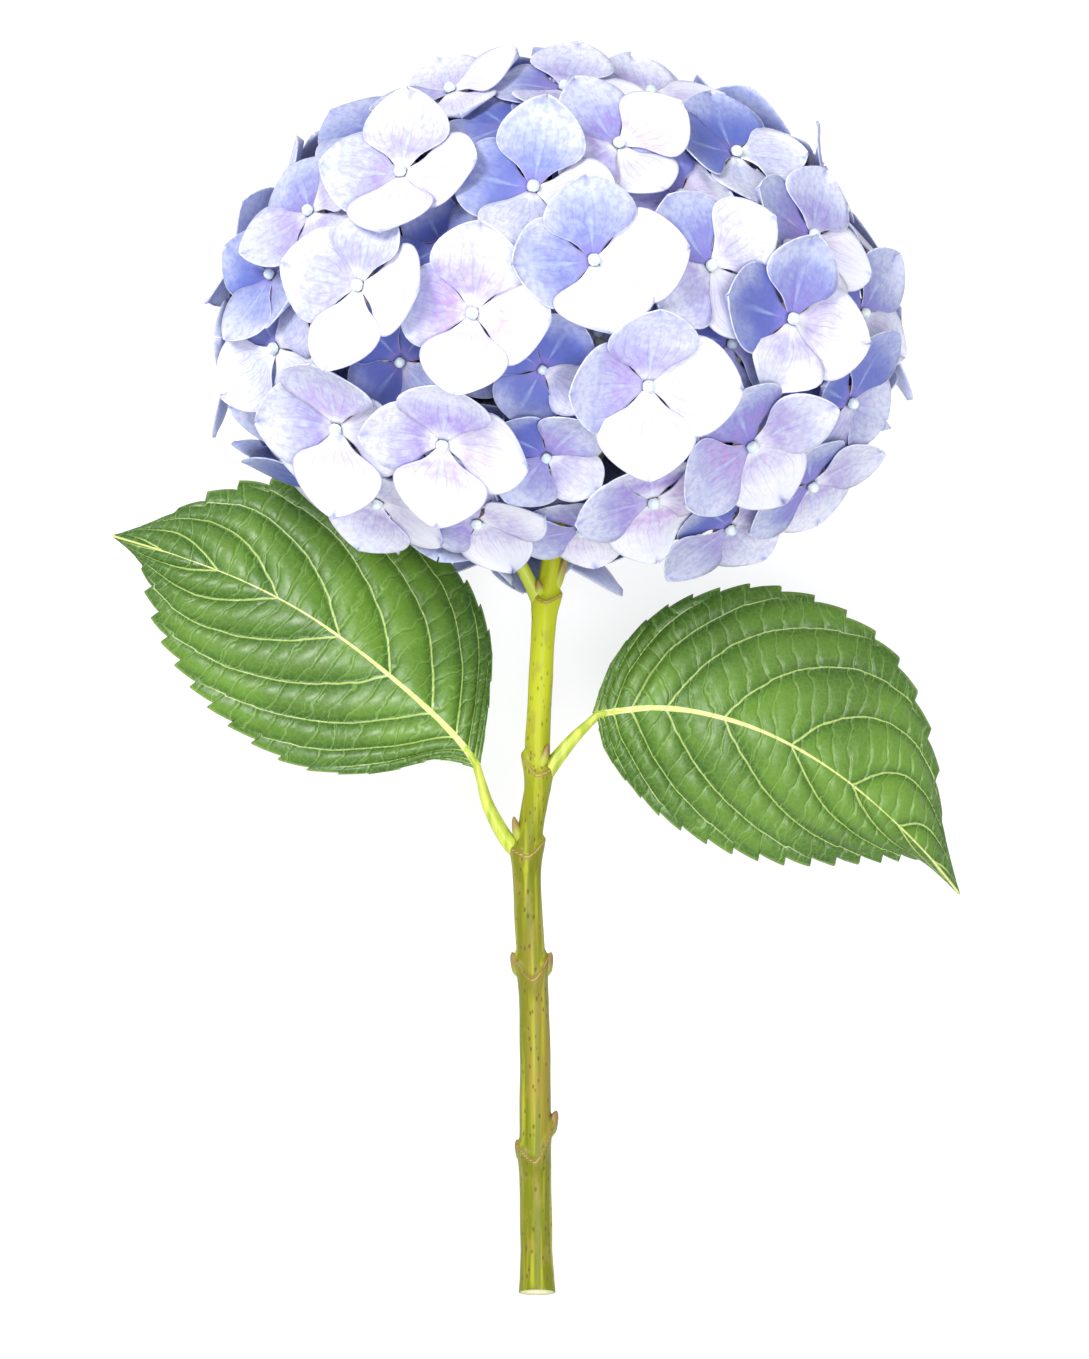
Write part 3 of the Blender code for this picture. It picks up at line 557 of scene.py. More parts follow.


# The head. Florets of four broad sepals crowd on a dome, each on a thin stalk; what looks like a
# petal is a sepal, and the true flower is the closed bead in the middle. The list gives those of the
# face: across, up, turn, size, how far it is sunk, how blue (for those in shade, painted shade as
# well), how lilac, and how far it stands proud.
HEAD_MIDDLE = np.array([4.3, 227.5, 0.0])
DOME_REACH = 77.5
DOME_RISE = 65.0
DOME_DROP = 48.0
SEPAL_REACH = 19.6
SEPAL_THICK = 0.8
BEAD_HEIGHT = 2.0
TILT = 0.08
FACE_CUP = 3.8
FACE_LEAN = 0.25
DOME_EDGE = 0.97
SHALLOW_CUP = (0.5, 2.5)
FACE_FLORETS = (
    (-34, 34, 90, 1.00, 0, 0.22, 0.50, 2.6), (-5, 30, 80, 1.00, 0, 0.55, 0.10, 1.2),
    (8, 13, 98, 1.00, 0, 0.36, 0.08, 2.8), (-18, 2, 80, 1.00, 0, 0.15, 0.80, 2.0),
    (-43, 9, 75, 1.00, 0, 0.24, 0.25, 2.2), (34, 13, 35, 1.00, 0, 0.45, 0.55, 1.6),
    (14, 41, 40, 0.95, 0, 0.25, 0.65, 1.0), (28, 30, 105, 0.85, 2, 0.45, 0.70, 1.9),
    (52, 2, 75, 1.00, 0, 0.56, 0.70, 2.3), (20, -13, 90, 1.00, 0, 0.27, 0.50, 3.0),
    (43, -24, 30, 1.05, 0, 0.42, 0.80, 3.2), (-3, -11, 60, 0.75, 3, 0.92, 0.50, 0.0),
    (-2, -30, 60, 0.80, 2, 0.75, 0.75, 0.3), (22, -37, 0, 1.00, 0, 0.26, 0.90, 1.4),
    (-25, -25, 80, 1.00, 0, 0.08, 0.75, 1.8), (-49, -21, 75, 1.05, 0, 0.10, 0.50, 1.5),
    (-27, 20, 30, 0.70, 5, 0.80, 0.25, 0.0), (41, 41, 20, 0.95, 0, 0.70, 0.10, 0.6),
    (58, 22, 60, 0.95, 0, 0.45, 0.70, 1.2), (-56, 28, 20, 0.95, 0, 0.40, 0.65, 0.6),
    (-65, 14, 50, 0.90, 0, 0.85, 0.20, 0.4), (-64, -3, 30, 0.95, 0, 0.45, 0.15, 0.2),
    (-41, 48, 70, 0.95, 0, 0.60, 0.15, 0.5), (-24, 57, 15, 0.95, 0, 0.30, 0.35, 1.2),
    (-11, 48, 50, 0.85, 2, 0.75, 0.25, 0.8), (2, 57, 80, 0.95, 0, 0.50, 0.75, 0.4),
    (22, 57, 20, 0.90, 0, 0.25, 0.60, 0.2), (47, 27, 0, 0.75, 5, 0.92, 0.30, 0.0),
    (71, 6, 40, 0.90, 0, 0.62, 0.50, 0.5), (67, -14, 70, 0.95, -1, 0.72, 0.45, 0.8),
    (58, -30, 15, 0.95, -4, 0.58, 0.70, 0.3), (42, -42, 60, 0.95, -4, 0.60, 0.70, 0.0),
    (-18, -42, 45, 0.90, 0, 0.30, 0.80, 0.4), (-41, -37, 65, 0.95, 0, 0.30, 0.60, 0.6),
    (-62, -19, 10, 0.85, 2, 0.45, 0.35, 0.0), (6, -44, 30, 0.85, 0, 0.40, 0.60, 0.1),
)
RESTING_FLORETS = ((-9.5, 213.0), (17.5, 215.0), (3.0, 237.0))
RESTING_FORM = (1.0, 5.0, 0.4, 0.4, 9.0)
RESTING_ROOM = 0.1
REST_PLACES = 500
REST_SPACING = 22.4
REST_SUNK = 2.0
NECK_CLEAR = 25.0
LEAF_ROOM = 13.0
GOLDEN_TURN = math.pi * (3.0 - math.sqrt(5.0))
leaf_stations = np.array([station for lines in LEAF_LINES.values() for line in lines for station in line])


def leant(facing, chance):
    """The way a floret faces, leant a little aside, as its stalk bends."""
    facing = facing + np.array([chance.uniform(-TILT, TILT) for _ in range(3)])
    return facing / np.linalg.norm(facing)


def place_on_dome(way, sunk):
    """The middle of a floret on the dome, and the way it faces there."""
    axes = np.array([DOME_REACH, DOME_RISE if way[1] > 0 else DOME_DROP, DOME_REACH])
    facing = way / axes
    facing /= np.linalg.norm(facing)
    return HEAD_MIDDLE + axes * way - sunk * facing, facing


def face_way(across, up):
    """The way to a place in the face, given across and up from the middle of the head."""
    flat_way = np.array([across / DOME_REACH, up / (DOME_RISE if up > 0 else DOME_DROP)])
    flat_way *= min(1.0, DOME_EDGE / np.linalg.norm(flat_way))
    return np.array([*flat_way, math.sqrt(1.0 - flat_way @ flat_way)])


def spiral_way(k, places, span=2.0):
    """The way to one of many even places on a ball; a span under 2 stops short of the stem."""
    up = 1.0 - span * (k + 0.5) / places
    level = math.sqrt(1.0 - up * up)
    return np.array([level * math.cos(GOLDEN_TURN * k), up, level * math.sin(GOLDEN_TURN * k)])


def is_free(middle, way):
    """Whether a floret there would be clear of the top of the stem and of the leaves."""
    in_neck = way[1] < 0 and math.hypot(middle[0] - HEAD_MIDDLE[0], middle[2]) < NECK_CLEAR
    return not in_neck and np.linalg.norm(leaf_stations - middle, axis=1).min() >= LEAF_ROOM


def roomiest(places, taken, spacing):
    """Takes the place farthest from all that are taken, until none is as far as the spacing."""
    rooms = [min(np.linalg.norm(middle - other) for other in taken) for middle, _ in places]
    if not rooms or max(rooms) < spacing:
        return None
    middle, facing = places.pop(int(np.argmax(rooms)))
    taken.append(middle)
    return middle, facing


def lay_out_florets():
    """Each floret as middle, facing, turn, size, cup, blue, lilac, and how far it stands proud."""
    chance = random.Random(5)
    tints = random.Random(11)
    florets, taken = [], []
    for across, up, turn, size, sunk, blue, lilac, proud in FACE_FLORETS:
        way = face_way(across, up)
        middle, facing = place_on_dome(way, sunk)
        taken.append(middle)
        facing = leant(facing + (0.0, 0.0, FACE_LEAN), chance)
        cup = chance.uniform(*SHALLOW_CUP) + FACE_CUP * way[2] ** 2
        middle = middle + proud * facing
        florets.append((middle, facing, math.radians(turn), size, cup, blue, lilac, proud - sunk))
    for across, up in RESTING_FLORETS:
        height = BEAD_HEIGHT + 0.5 * SEPAL_THICK + RESTING_ROOM
        middle = np.array([across, up, (height - FOOT[2] - up * UP[1]) / UP[2]])
        taken.append(middle)
        florets.append((middle, -UP, chance.uniform(0, math.tau), *RESTING_FORM))
    places = []
    for k in range(REST_PLACES):
        way = spiral_way(k, REST_PLACES)
        middle, facing = place_on_dome(way, chance.uniform(0.0, REST_SUNK))
        if is_free(middle, way):
            places.append((middle, facing))
    while found := roomiest(places, taken, REST_SPACING):
        middle, facing = found[0], leant(found[1], chance)
        turn = chance.uniform(0, math.tau)
        cup = chance.uniform(*SHALLOW_CUP) + tints.uniform(0.0, 4.0)
        size = chance.uniform(1.0, 1.12)
        proud = tints.uniform(0.0, 2.0)
        # Their blue is partly painted shade, raised so that the sides and back, which face away from the
        # lamps, look blue rather than grey.
        blue, lilac = tints.uniform(0.35, 0.95), tints.uniform(0.1, 0.8)
        florets.append((middle + proud * facing, facing, turn, size, cup, blue, lilac, proud))
    return florets


florets = lay_out_florets()


# The sepals. Each is a thin, faintly veined blade, as wide as it is long, on a narrow claw; along its
# rim a thin line of light is painted where it is blue, and a line of shadow where it is white. One
# pair laps over the other, and each is cupped and waved a little in its own way.
# Where two florets meet, the edge of the one that stands less proud is pressed in under the other.
SEPAL_SHARES = np.array((0, 0.05, 0.10, 0.15, 0.20, 0.26, 0.33, 0.40, 0.47, 0.54, 0.61, 0.68,
                         0.75, 0.81, 0.87, 0.92, 0.96, 1.0))
SEPAL_WIDTHS = np.array((0.12, 0.19, 0.262, 0.345, 0.445, 0.62, 0.81, 0.93, 0.99, 1.0, 0.98, 0.93,
                         0.84, 0.73, 0.58, 0.42, 0.26, 0.03))
SEPAL_HALF_WIDTH = 10.6
SEPAL_START = 1.2
SEPAL_LAP = 0.5
LAP_START = 6.0
CREASE_DEPTH, CREASE_WIDTH = 0.45, 0.16
TIP_ROUNDING = 0.010
BLADE = 0.28
UNDER_GAP = 0.7
PRESS_REACH = 5.0
PRESS_DEPTH = 22.0
PRESS_MOST = 9.0
CLAW_SHARE = 0.15
NEIGHBOUR_REACH = 2.4
# Sepals that point this way, up and to the left, are painted bluer and more lilac as shade, since in a
# cupped floret they face away from the lamp.
SHADY_WAY = np.array([-0.75, 0.65, 0.1])
SHADY_TONE, TONE_WHIM = 0.44, 0.10
OUTER_COLUMNS = 13
BLUE_WHITE, BRIGHT_WHITE = (0.78, 0.81, 0.88), (0.88, 0.88, 0.92)
# The deep blue here is painted shade for the florets that sit deep among the others.
SKY_BLUE, DEEP_SHADE_BLUE = (0.17, 0.25, 0.54), (0.110, 0.150, 0.49)
LILAC, PINK_LILAC = (0.36, 0.26, 0.62), (0.54, 0.33, 0.66)
MIDLINE_PALE, VIOLET_VEIN, BLUE_VEIN = (0.62, 0.80, 0.96), (0.46, 0.32, 0.76), (0.10, 0.13, 0.52)
PALE_THROAT, DARK_THROAT, TIP_BLUE = (0.90, 0.91, 0.94), (0.24, 0.21, 0.58), (0.28, 0.34, 0.82)
# The rim tints are painted light and shadow: a pale line of light on the edge of a blue sepal, a dusky line
# of shadow on the edge of a white one, where it laps another.
RIM_EDGE_SHADOW, RIM_LIGHT = (0.42, 0.41, 0.68), (0.93, 0.94, 0.99)
BACK_BLUE, LIGHT_THROUGH_SEPAL = (0.50, 0.58, 0.88), (0.44, 0.50, 0.82)


def sepal_grid(columns, cup, chance):
    """One sepal pointing along x from the middle of its floret, in mm."""
    share = SEPAL_SHARES[:, None]
    aside = np.linspace(-1.0, 1.0, columns)[None, :]
    broad = 1.0 + chance.uniform(-0.10, 0.09) * np.minimum(share / 0.4, 1.0)
    width = SEPAL_HALF_WIDTH * broad * SEPAL_WIDTHS[:, None]
    length = SEPAL_REACH * chance.uniform(0.94, 1.07)
    skew = chance.uniform(-0.07, 0.07)
    side = width * aside
    out = SEPAL_START + (length - SEPAL_START) * share - TIP_ROUNDING * share * side**2
    side = side + skew * out
    dish, curl, lean = chance.uniform(-0.4, 1.8), chance.uniform(-1.2, 1.6), chance.uniform(-0.05, 0.05)
    ripple, start = chance.uniform(0.1, 0.6), chance.uniform(0, math.tau)
    rise = cup * (out / SEPAL_REACH) ** 2 + dish * aside**2 * share + curl * share**4
    waves = np.sin(start + 5.0 * share + 3.2 * aside)
    rise = rise + lean * side + ripple * waves * share**1.5 * np.abs(aside)
    rise = rise - CREASE_DEPTH * np.exp(-((aside / CREASE_WIDTH) ** 2)) * (1.0 - 0.6 * share) * share**0.3
    return np.stack([out, side, rise + 0.0 * out], axis=2), share + 0.0 * aside, aside + 0.0 * share


def floret_frame(facing, turn):
    """The three axes of a floret: along its first sepal, across it, and out of its face."""
    way = np.array([math.cos(turn), math.sin(turn), 0.0])
    side = way - facing * (way @ facing)
    side /= np.linalg.norm(side)
    return np.stack([side, np.cross(facing, side), facing])


def press_down(points):
    """What would sink through the table is pressed flat on it."""
    low = np.maximum(-(FOOT[2] + points @ UP), 0.0)
    return points + low[..., None] * UP


def press_under(grid, share, tree):
    """Presses a sepal in under those already placed, most where they meet and less all round."""
    points = grid.reshape(-1, 3)
    out = points - HEAD_MIDDLE
    out /= np.linalg.norm(out, axis=1, keepdims=True)
    push = np.zeros(len(points))
    for k, (point, way) in enumerate(zip(points, out)):
        near = tree.ray_cast(Vector(point - PRESS_DEPTH * way), Vector(way), PRESS_DEPTH + UNDER_GAP)[3]
        if near is not None:
            push[k] = PRESS_DEPTH + UNDER_GAP - near
    push = np.minimum(push, PRESS_MOST)
    if not push.any():
        return grid
    apart = np.linalg.norm(points[:, None] - points[None], axis=2)
    spread = (push[None] * np.exp(-((apart / PRESS_REACH) ** 2))).max(axis=1)
    spread *= np.minimum(share.ravel() / CLAW_SHARE, 1.0)
    return (points - spread[:, None] * out).reshape(grid.shape)


placed_grids = []


def sepals_of(florets, columns, chance):
    """The sepals of some florets, those that stand proudest first, and the marks for their colours."""
    shapes = []
    marks = {name: [] for name in ("share", "aside", "blue", "lilac", "odd", "inner")}
    rows = len(SEPAL_SHARES)
    for middle, facing, turn, size, cup, blue, lilac, _ in sorted(florets, key=lambda floret: -floret[7]):
        turned_frame = floret_frame(facing, turn)
        reach = NEIGHBOUR_REACH * SEPAL_REACH
        near = [grid for other, grid in placed_grids if np.linalg.norm(other - middle) < reach]
        tree = None
        if near:
            count = len(near[0])
            corners = np.concatenate(near)
            quads = grid_faces(rows, count // rows)
            faces = [tuple(k + at * count for k in quad) for at in range(len(near)) for quad in quads]
            tree = BVHTree.FromPolygons(corners.tolist(), faces)
        own = []
        for quarter in range(4):
            grid, share, aside = sepal_grid(columns, cup, chance)
            lap = SEPAL_LAP if quarter % 2 == 0 else -SEPAL_LAP
            grid[..., 2] += lap * np.minimum(share * LAP_START, 1.0)
            quarter_turn = np.array(Matrix.Rotation(quarter * math.pi / 2, 3, "Z"))
            grid = middle + (size * grid) @ quarter_turn.T @ turned_frame
            if tree is not None:
                grid = press_under(grid, share, tree)
            own.append((middle, grid[:, :: (columns - 1) // 4].reshape(-1, 3)))
            points, faces = sheet(grid, size * BLADE, facing)
            shapes.append((press_down(points), faces))
            points_to = quarter_turn[:, 0] @ turned_frame
            # Painted shade: a sepal is made bluer and more lilac the more it points up and to the left, on
            # top of a small random whim.
            whim_and_painted_shade = chance.uniform(-TONE_WHIM, TONE_WHIM) + SHADY_TONE * (points_to @ SHADY_WAY)
            for name, values in (
                ("share", share), ("aside", aside), ("blue", share * 0 + blue + whim_and_painted_shade),
                ("lilac", share * 0 + lilac + 0.5 * whim_and_painted_shade), ("odd", share * 0 + chance.random()),
            ):
                marks[name] += [values.ravel(), values.ravel()]
            marks["inner"] += [np.zeros(share.size), np.ones(share.size)]
        placed_grids.extend(own)
    points, faces = gather(shapes)
    return points, faces, {name: np.concatenate(values) for name, values in marks.items()}


petal = Paint("sepal")
share, aside, odd = petal.mark("share"), petal.mark("aside"), petal.mark("odd")
# The blue and lilac marks hold each floret's own tint together with painted shade: on sepals that face away
# from the lamp and on florets that sit deep.
blue, lilac = petal.mark("blue"), petal.mark("lilac")
here = petal.place()
middling = petal.sums("ABSOLUTE", aside)
cloud = petal.noise(here, 85.0, 3.0)
fan = petal.sums("MULTIPLY_ADD", petal.noise(here, 230.0, 2.0), 0.22, aside)
trunks = petal.range(petal.lines(petal.times(fan, 13.0)), 0.0, 0.30, 1.0, 0.0)
twigs = petal.lines(petal.sums("MULTIPLY_ADD", fan, 31.0, petal.times(share, 5.0)))
twigs = petal.times(petal.range(twigs, 0.0, 0.36, 0.8, 0.0), petal.range(share, 0.2, 0.5))
veins = petal.times(petal.sums("MAXIMUM", trunks, twigs), petal.range(share, 0.98, 0.6))
fade = petal.sums("MULTIPLY_ADD", cloud, 0.7, petal.sums("MULTIPLY_ADD", middling, 0.12, share))
inside = petal.range(fade, 0.55, 1.15, 1.0, 0.0)
streaky = petal.range(petal.noise(here, 420.0, 5.0, 0.65), 0.36, 0.66, 0.45, 1.1)
white = petal.mix(petal.range(cloud, 0.3, 0.7), BLUE_WHITE, BRIGHT_WHITE)
bluing = petal.times(petal.range(blue, 0.07, 0.96), petal.range(fade, 0.5, 1.35, 1.15, 0.45))
bluing = petal.times(bluing, petal.sums("MULTIPLY_ADD", streaky, 0.35, 0.7))
pinkness = petal.mix(petal.range(odd, 0.5, 1.0), LILAC, PINK_LILAC)
blush = petal.times(lilac, petal.times(inside, streaky))
# Painted shade: the bluest florets, those that sit deep among the others, turn a deep blue in their inner
# parts.
deep_shade = petal.times(petal.range(blue, 0.72, 0.98), petal.range(fade, 0.75, 1.30, 1.0, 0.35))
midline = petal.times(petal.range(middling, 0.0, 0.10, 1.0, 0.0), petal.range(share, 0.8, 0.2))
line_tint = petal.mix(blue, VIOLET_VEIN, BLUE_VEIN)
line_share = petal.times(veins, petal.sums("MULTIPLY_ADD", inside, 0.40, 0.24))
throat_tint = petal.mix(petal.range(blue, 0.40, 0.75), PALE_THROAT, DARK_THROAT)
tip_way = petal.sums("MULTIPLY_ADD", middling, -0.30, petal.sums("MULTIPLY_ADD", cloud, 0.16, share))
# Painted light and shadow along the rim: pale on blue sepals, dusky on white ones.
rim = petal.sums("MAXIMUM", petal.range(middling, 0.955, 1.0), petal.range(share, 0.975, 1.0))
rim_light_and_shadow_tint = petal.mix(petal.range(blue, 0.10, 0.38), RIM_EDGE_SHADOW, RIM_LIGHT)
crepe = petal.noise(here, 800.0, 3.0)
mottle = petal.times(petal.range(crepe, 0.42, 0.64, 0.0, 0.3), petal.range(blue, 0.0, 0.5, 0.15, 1.0))
colour = petal.coats(
    white, (bluing, SKY_BLUE), (petal.times(blush, 0.95), pinkness), (petal.times(deep_shade, 0.9), DEEP_SHADE_BLUE),
    (petal.times(midline, 0.35), MIDLINE_PALE), (line_share, line_tint),
    (petal.range(share, 0.04, 0.24, 0.8, 0.0), throat_tint),
    (petal.range(tip_way, 0.90, 1.06, 0.0, 0.6), TIP_BLUE), (petal.times(rim, 0.7), rim_light_and_shadow_tint),
    (petal.times(petal.mark("inner"), 0.45), BACK_BLUE), (mottle, line_tint),
)
relief = petal.bump(crepe, 0.25, 0.0003, petal.bump(veins, -0.45, 0.0005))
glow = petal.mix(0.5, colour, LIGHT_THROUGH_SEPAL)
sheen = petal.range(crepe, 0.3, 0.7, 0.50, 0.66)
sepal_skin = petal.surface(colour, sheen, relief, glow, 0.22, Specular_IOR_Level=0.3)

whims = random.Random(23)
first_rest = len(FACE_FLORETS) + len(RESTING_FLORETS)
groups = {"face_sepals": florets[:first_rest], "side_and_back_sepals": florets[first_rest:]}
for name, group_florets in groups.items():
    sepals = grow(name, *sepals_of(group_florets, OUTER_COLUMNS, whims))
    sepals.data.materials.append(sepal_skin)
    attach(sepals, "root")
    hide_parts("flower_head")


# Smaller florets fill the gaps that the outer ones leave, two in the face and the rest at the sides
# and the back. They stand a little deeper, and are painted bluer for the shade there.
FACE_GAPS = ((-37, -9, 5.0), (42, -4, 5.0))
GAP_DEPTH = 3.5
GAP_SPACING = 15.5
GAP_FACING = 0.62
FACE_GAP_FORM = (0.85, 2.0, 0.95, 0.4, 0.0)
GAP_COLUMNS = 7
gap_places, gap_florets = [], []
for k in range(REST_PLACES):
    way = spiral_way(k, REST_PLACES)
    middle, facing = place_on_dome(way, GAP_DEPTH)
    if is_free(middle, way) and facing[2] < GAP_FACING:
        gap_places.append((middle, facing))
gap_taken = [floret[0] for floret in florets]
while found := roomiest(gap_places, gap_taken, GAP_SPACING):
    middle, facing = found[0], leant(found[1], whims)
    turn, size, cup = whims.uniform(0, math.tau), whims.uniform(0.78, 0.92), whims.uniform(2.0, 5.0)
    blue, lilac = whims.uniform(0.65, 0.95), whims.uniform(0.1, 0.6)
    gap_florets.append((middle, facing, turn, size, cup, blue, lilac, 0.0))
for across, up, sunk in FACE_GAPS:
    middle, facing = place_on_dome(face_way(across, up), sunk)
    gap_florets.append((middle, facing, whims.uniform(0, math.tau), *FACE_GAP_FORM))
gap_sepals = grow("gap_sepals", *sepals_of(gap_florets, GAP_COLUMNS, whims))
gap_sepals.data.materials.append(sepal_skin)
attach(gap_sepals, "root")


# Under them a second, younger layer of florets fills the gaps: smaller, and a deep blue-violet,
# because little light reaches it. It stands on shorter stalks from the same crowded middle.
UNDER_PLACES = 64
UNDER_SPAN = 1.72
UNDER_DEPTH = 0.82
UNDER_COLUMNS = 5
under_florets = []
for k in range(UNDER_PLACES):
    middle, facing = place_on_dome(spiral_way(k, UNDER_PLACES, UNDER_SPAN), 0.0)
    middle = HEAD_MIDDLE + UNDER_DEPTH * (middle - HEAD_MIDDLE)
    facing = leant(facing, whims)
    turn, size, cup = whims.uniform(0, math.tau), whims.uniform(0.72, 0.9), whims.uniform(0.5, 3.0)
    blue, lilac, proud = whims.uniform(0.9, 1.15), whims.uniform(0.1, 0.5), whims.uniform(0.0, 3.0)
    under_florets.append((middle, facing, turn, size, cup, blue, lilac, proud))
under_sepals = grow("under_sepals", *sepals_of(under_florets, UNDER_COLUMNS, whims))
under_sepals.data.materials.append(sepal_skin)
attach(under_sepals, "root")


# The beads and their cups. The true flower of each floret stays shut: a round bud of four parts,
# pale blue, on a brown little cup that shows in the slots between the claws of the sepals.
BEAD_RADIUS, BEAD_STAND, BEAD_FOOT, BEAD_PART = 1.5, 0.9, 0.62, 0.10
BEAD_ROWS, BEAD_SIDES = 10, 16
CUP_RINGS = ((0.6, -0.55), (4.3, -0.75), (3.4, -1.3), (0.9, -3.2))
BEAD_TINTS = ((0.50, 0.62, 0.74), (0.74, 0.80, 0.72))
CUP_TINTS = ((0.24, 0.16, 0.12), (0.40, 0.31, 0.27))


def speckled(name, scale, edges, tints, roughness, relief):
    """A plain skin in two tints that mingle in fine specks."""
    skin = Paint(name)
    spot = skin.noise(skin.place(), scale, 2.0)
    tint = skin.mix(skin.range(spot, *edges), *tints)
    return skin.surface(tint, roughness, skin.bump(spot, relief, 0.0003))


def bead(middle, facing, turn, size):
    polar = np.linspace(0.05, BEAD_FOOT * math.pi, BEAD_ROWS)[:, None]
    turns = turns_round(BEAD_SIDES)[None, :]
    seams = BEAD_PART * np.abs(np.cos(2 * turns)) ** 6 * np.sin(polar)
    radius = size * BEAD_RADIUS * (1.0 - seams)
    out = radius * np.sin(polar)
    rise = radius * np.cos(polar) + BEAD_STAND
    local = np.stack([out * np.cos(turns), out * np.sin(turns), rise], axis=2).reshape(-1, 3)
    faces = grid_faces(BEAD_ROWS, BEAD_SIDES, round_about=True, turned=True)
    faces.append(tuple(range(BEAD_SIDES)))
    return press_down(middle + local @ floret_frame(facing, turn)), faces


def cup_disc(middle, facing, turn, size):
    turns = turns_round(BEAD_SIDES)
    rings = [np.stack([r * np.cos(turns), r * np.sin(turns), 0 * turns + h], axis=1) for r, h in CUP_RINGS]
    local = size * np.concatenate(rings)
    faces = grid_faces(len(CUP_RINGS), BEAD_SIDES, round_about=True, turned=True)
    faces.append(tuple(range(BEAD_SIDES)))
    return press_down(middle + local @ floret_frame(facing, turn)), faces


all_florets = florets + gap_florets + under_florets
beads = grow("beads", *gather([bead(*floret[:4]) for floret in all_florets]))
bead_skin = speckled("bead", 700.0, (0.35, 0.65), BEAD_TINTS, roughness=0.4, relief=0.2)
beads.data.materials.append(bead_skin)
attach(beads, "root")

cups = grow("floret_cups", *gather([cup_disc(*floret[:4]) for floret in all_florets]))
cup_skin = speckled("floret cup", 500.0, (0.3, 0.7), CUP_TINTS, roughness=0.6, relief=0.3)
cups.data.materials.append(cup_skin)
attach(cups, "root")


# The stalks. Thin pale stalks carry the florets out of the middle, and thicker rays carry all of it
# up from the top of the stem, where it divides. Both are green at the foot and bluer toward the light.
STALK_ROOT = 0.45
STALK_RINGS, STALK_SIDES = 7, 7
STALK_BEND, STALK_END = 7.0, 0.8
STALK_THICK, STALK_THIN = 0.9, 0.6
RAY_COUNT = 6
RAY_SPREAD = 12.5
RAY_START = 183.0
RAY_RINGS, RAY_SIDES = 16, 12
RAY_THICK, RAY_THIN = 1.4, 1.15
RAY_FOOT, LOW_BEND_OUT, LOW_BEND_UP = 0.8, 1.2, 0.28
HIGH_BEND_IN, HIGH_BEND_DOWN = 0.08, 0.2
CORE_FOOT = 208.5
RAY_GREEN, RAY_BLUE, RAY_STREAK = (0.42, 0.50, 0.06), (0.42, 0.50, 0.52), (0.48, 0.52, 0.34)
stalk_shapes = []
for middle, facing, *_ in all_florets:
    root = HEAD_MIDDLE + STALK_ROOT * (middle - HEAD_MIDDLE)
    root[1] = max(root[1], CORE_FOOT)
    bend = middle - STALK_BEND * facing
    bends = [root, 0.5 * (root + bend), bend, middle - STALK_END * facing]
    path = along(bends, np.linspace(0.0, 1.0, STALK_RINGS))
    stalk_shapes.append(rod(path, np.linspace(STALK_THICK, STALK_THIN, STALK_RINGS), STALK_SIDES))
ray_rise = CORE_FOOT - RAY_START
for k in range(RAY_COUNT):
    turn = math.tau * (k + 0.25) / RAY_COUNT
    way = np.array([math.cos(turn), 0.0, math.sin(turn)])
    start = np.array([STEM_SWAY[-1], RAY_START, 0.0]) + RAY_FOOT * way
    stop = np.array([HEAD_MIDDLE[0], CORE_FOOT, 0.0]) + RAY_SPREAD * way
    low_bend = start + LOW_BEND_OUT * way + (0.0, LOW_BEND_UP * ray_rise, 0.0)
    high_bend = stop - HIGH_BEND_IN * RAY_SPREAD * way - (0.0, HIGH_BEND_DOWN * ray_rise, 0.0)
    bends = [start, low_bend, 0.45 * start + 0.55 * stop, high_bend, stop]
    path = along(bends, np.linspace(0.0, 1.0, RAY_RINGS))
    stalk_shapes.append(rod(path, np.linspace(RAY_THICK, RAY_THIN, RAY_RINGS), RAY_SIDES))
rays = grow("rays_and_stalks", *gather(stalk_shapes))
ray_skin = Paint("ray")
streak = ray_skin.fibre((400.0, 80.0, 400.0), 2.0)
skin = ray_skin.coats(
    RAY_GREEN, (ray_skin.range(ray_skin.height(), 0.19, 0.215), RAY_BLUE),
    (ray_skin.range(streak, 0.4, 0.7, 0.0, 0.5), RAY_STREAK),
)
rays.data.materials.append(ray_skin.surface(skin, 0.5, ray_skin.bump(streak, 0.3, 0.0003)))
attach(rays, "root")


# The fertile buds. Among the florets stand little yellow-green true flowers, shut, that never grow
# sepals. They stand in threes on threads of their own and show only in the gaps.
BUD_PLACES, BUD_SPAN, BUDS_TOGETHER = 420, 1.7, 3
BUD_DEPTH = 0.90
BUD_ROOM = 11.0
BUD_SCATTER = 4.0
THREAD_LENGTH = 12.0
THREAD_RADII = (0.35, 0.35, 0.3, 0.3)
THREAD_SIDES = 6
BUD_HALF_LENGTH, BUD_END, BUD_SWELL = 1.3, 0.08, 1.05
SWELL_RINGS, SWELL_SIDES = 8, 10
BUD_TINTS = ((0.50, 0.54, 0.22), (0.34, 0.40, 0.62))
fertile_shapes = []
for k in range(BUD_PLACES):
    middle, facing = place_on_dome(spiral_way(k, BUD_PLACES, BUD_SPAN), 0.0)
    if min(np.linalg.norm(middle - floret[0]) for floret in florets) < BUD_ROOM:
        continue
    for _ in range(BUDS_TOGETHER):
        tip = HEAD_MIDDLE + BUD_DEPTH * whims.uniform(0.95, 1.03) * (middle - HEAD_MIDDLE)
        tip = tip + np.array([whims.uniform(-BUD_SCATTER, BUD_SCATTER) for _ in range(3)])
        root = tip - THREAD_LENGTH * facing
        fertile_shapes.append(rod(np.linspace(root, tip, len(THREAD_RADII)), THREAD_RADII, THREAD_SIDES))
        swell = np.linspace(0.0, math.pi, SWELL_RINGS)
        bud_path = [tip - (BUD_HALF_LENGTH * math.cos(a)) * facing for a in swell]
        fertile_shapes.append(rod(bud_path, BUD_END + BUD_SWELL * np.sin(swell), SWELL_SIDES))
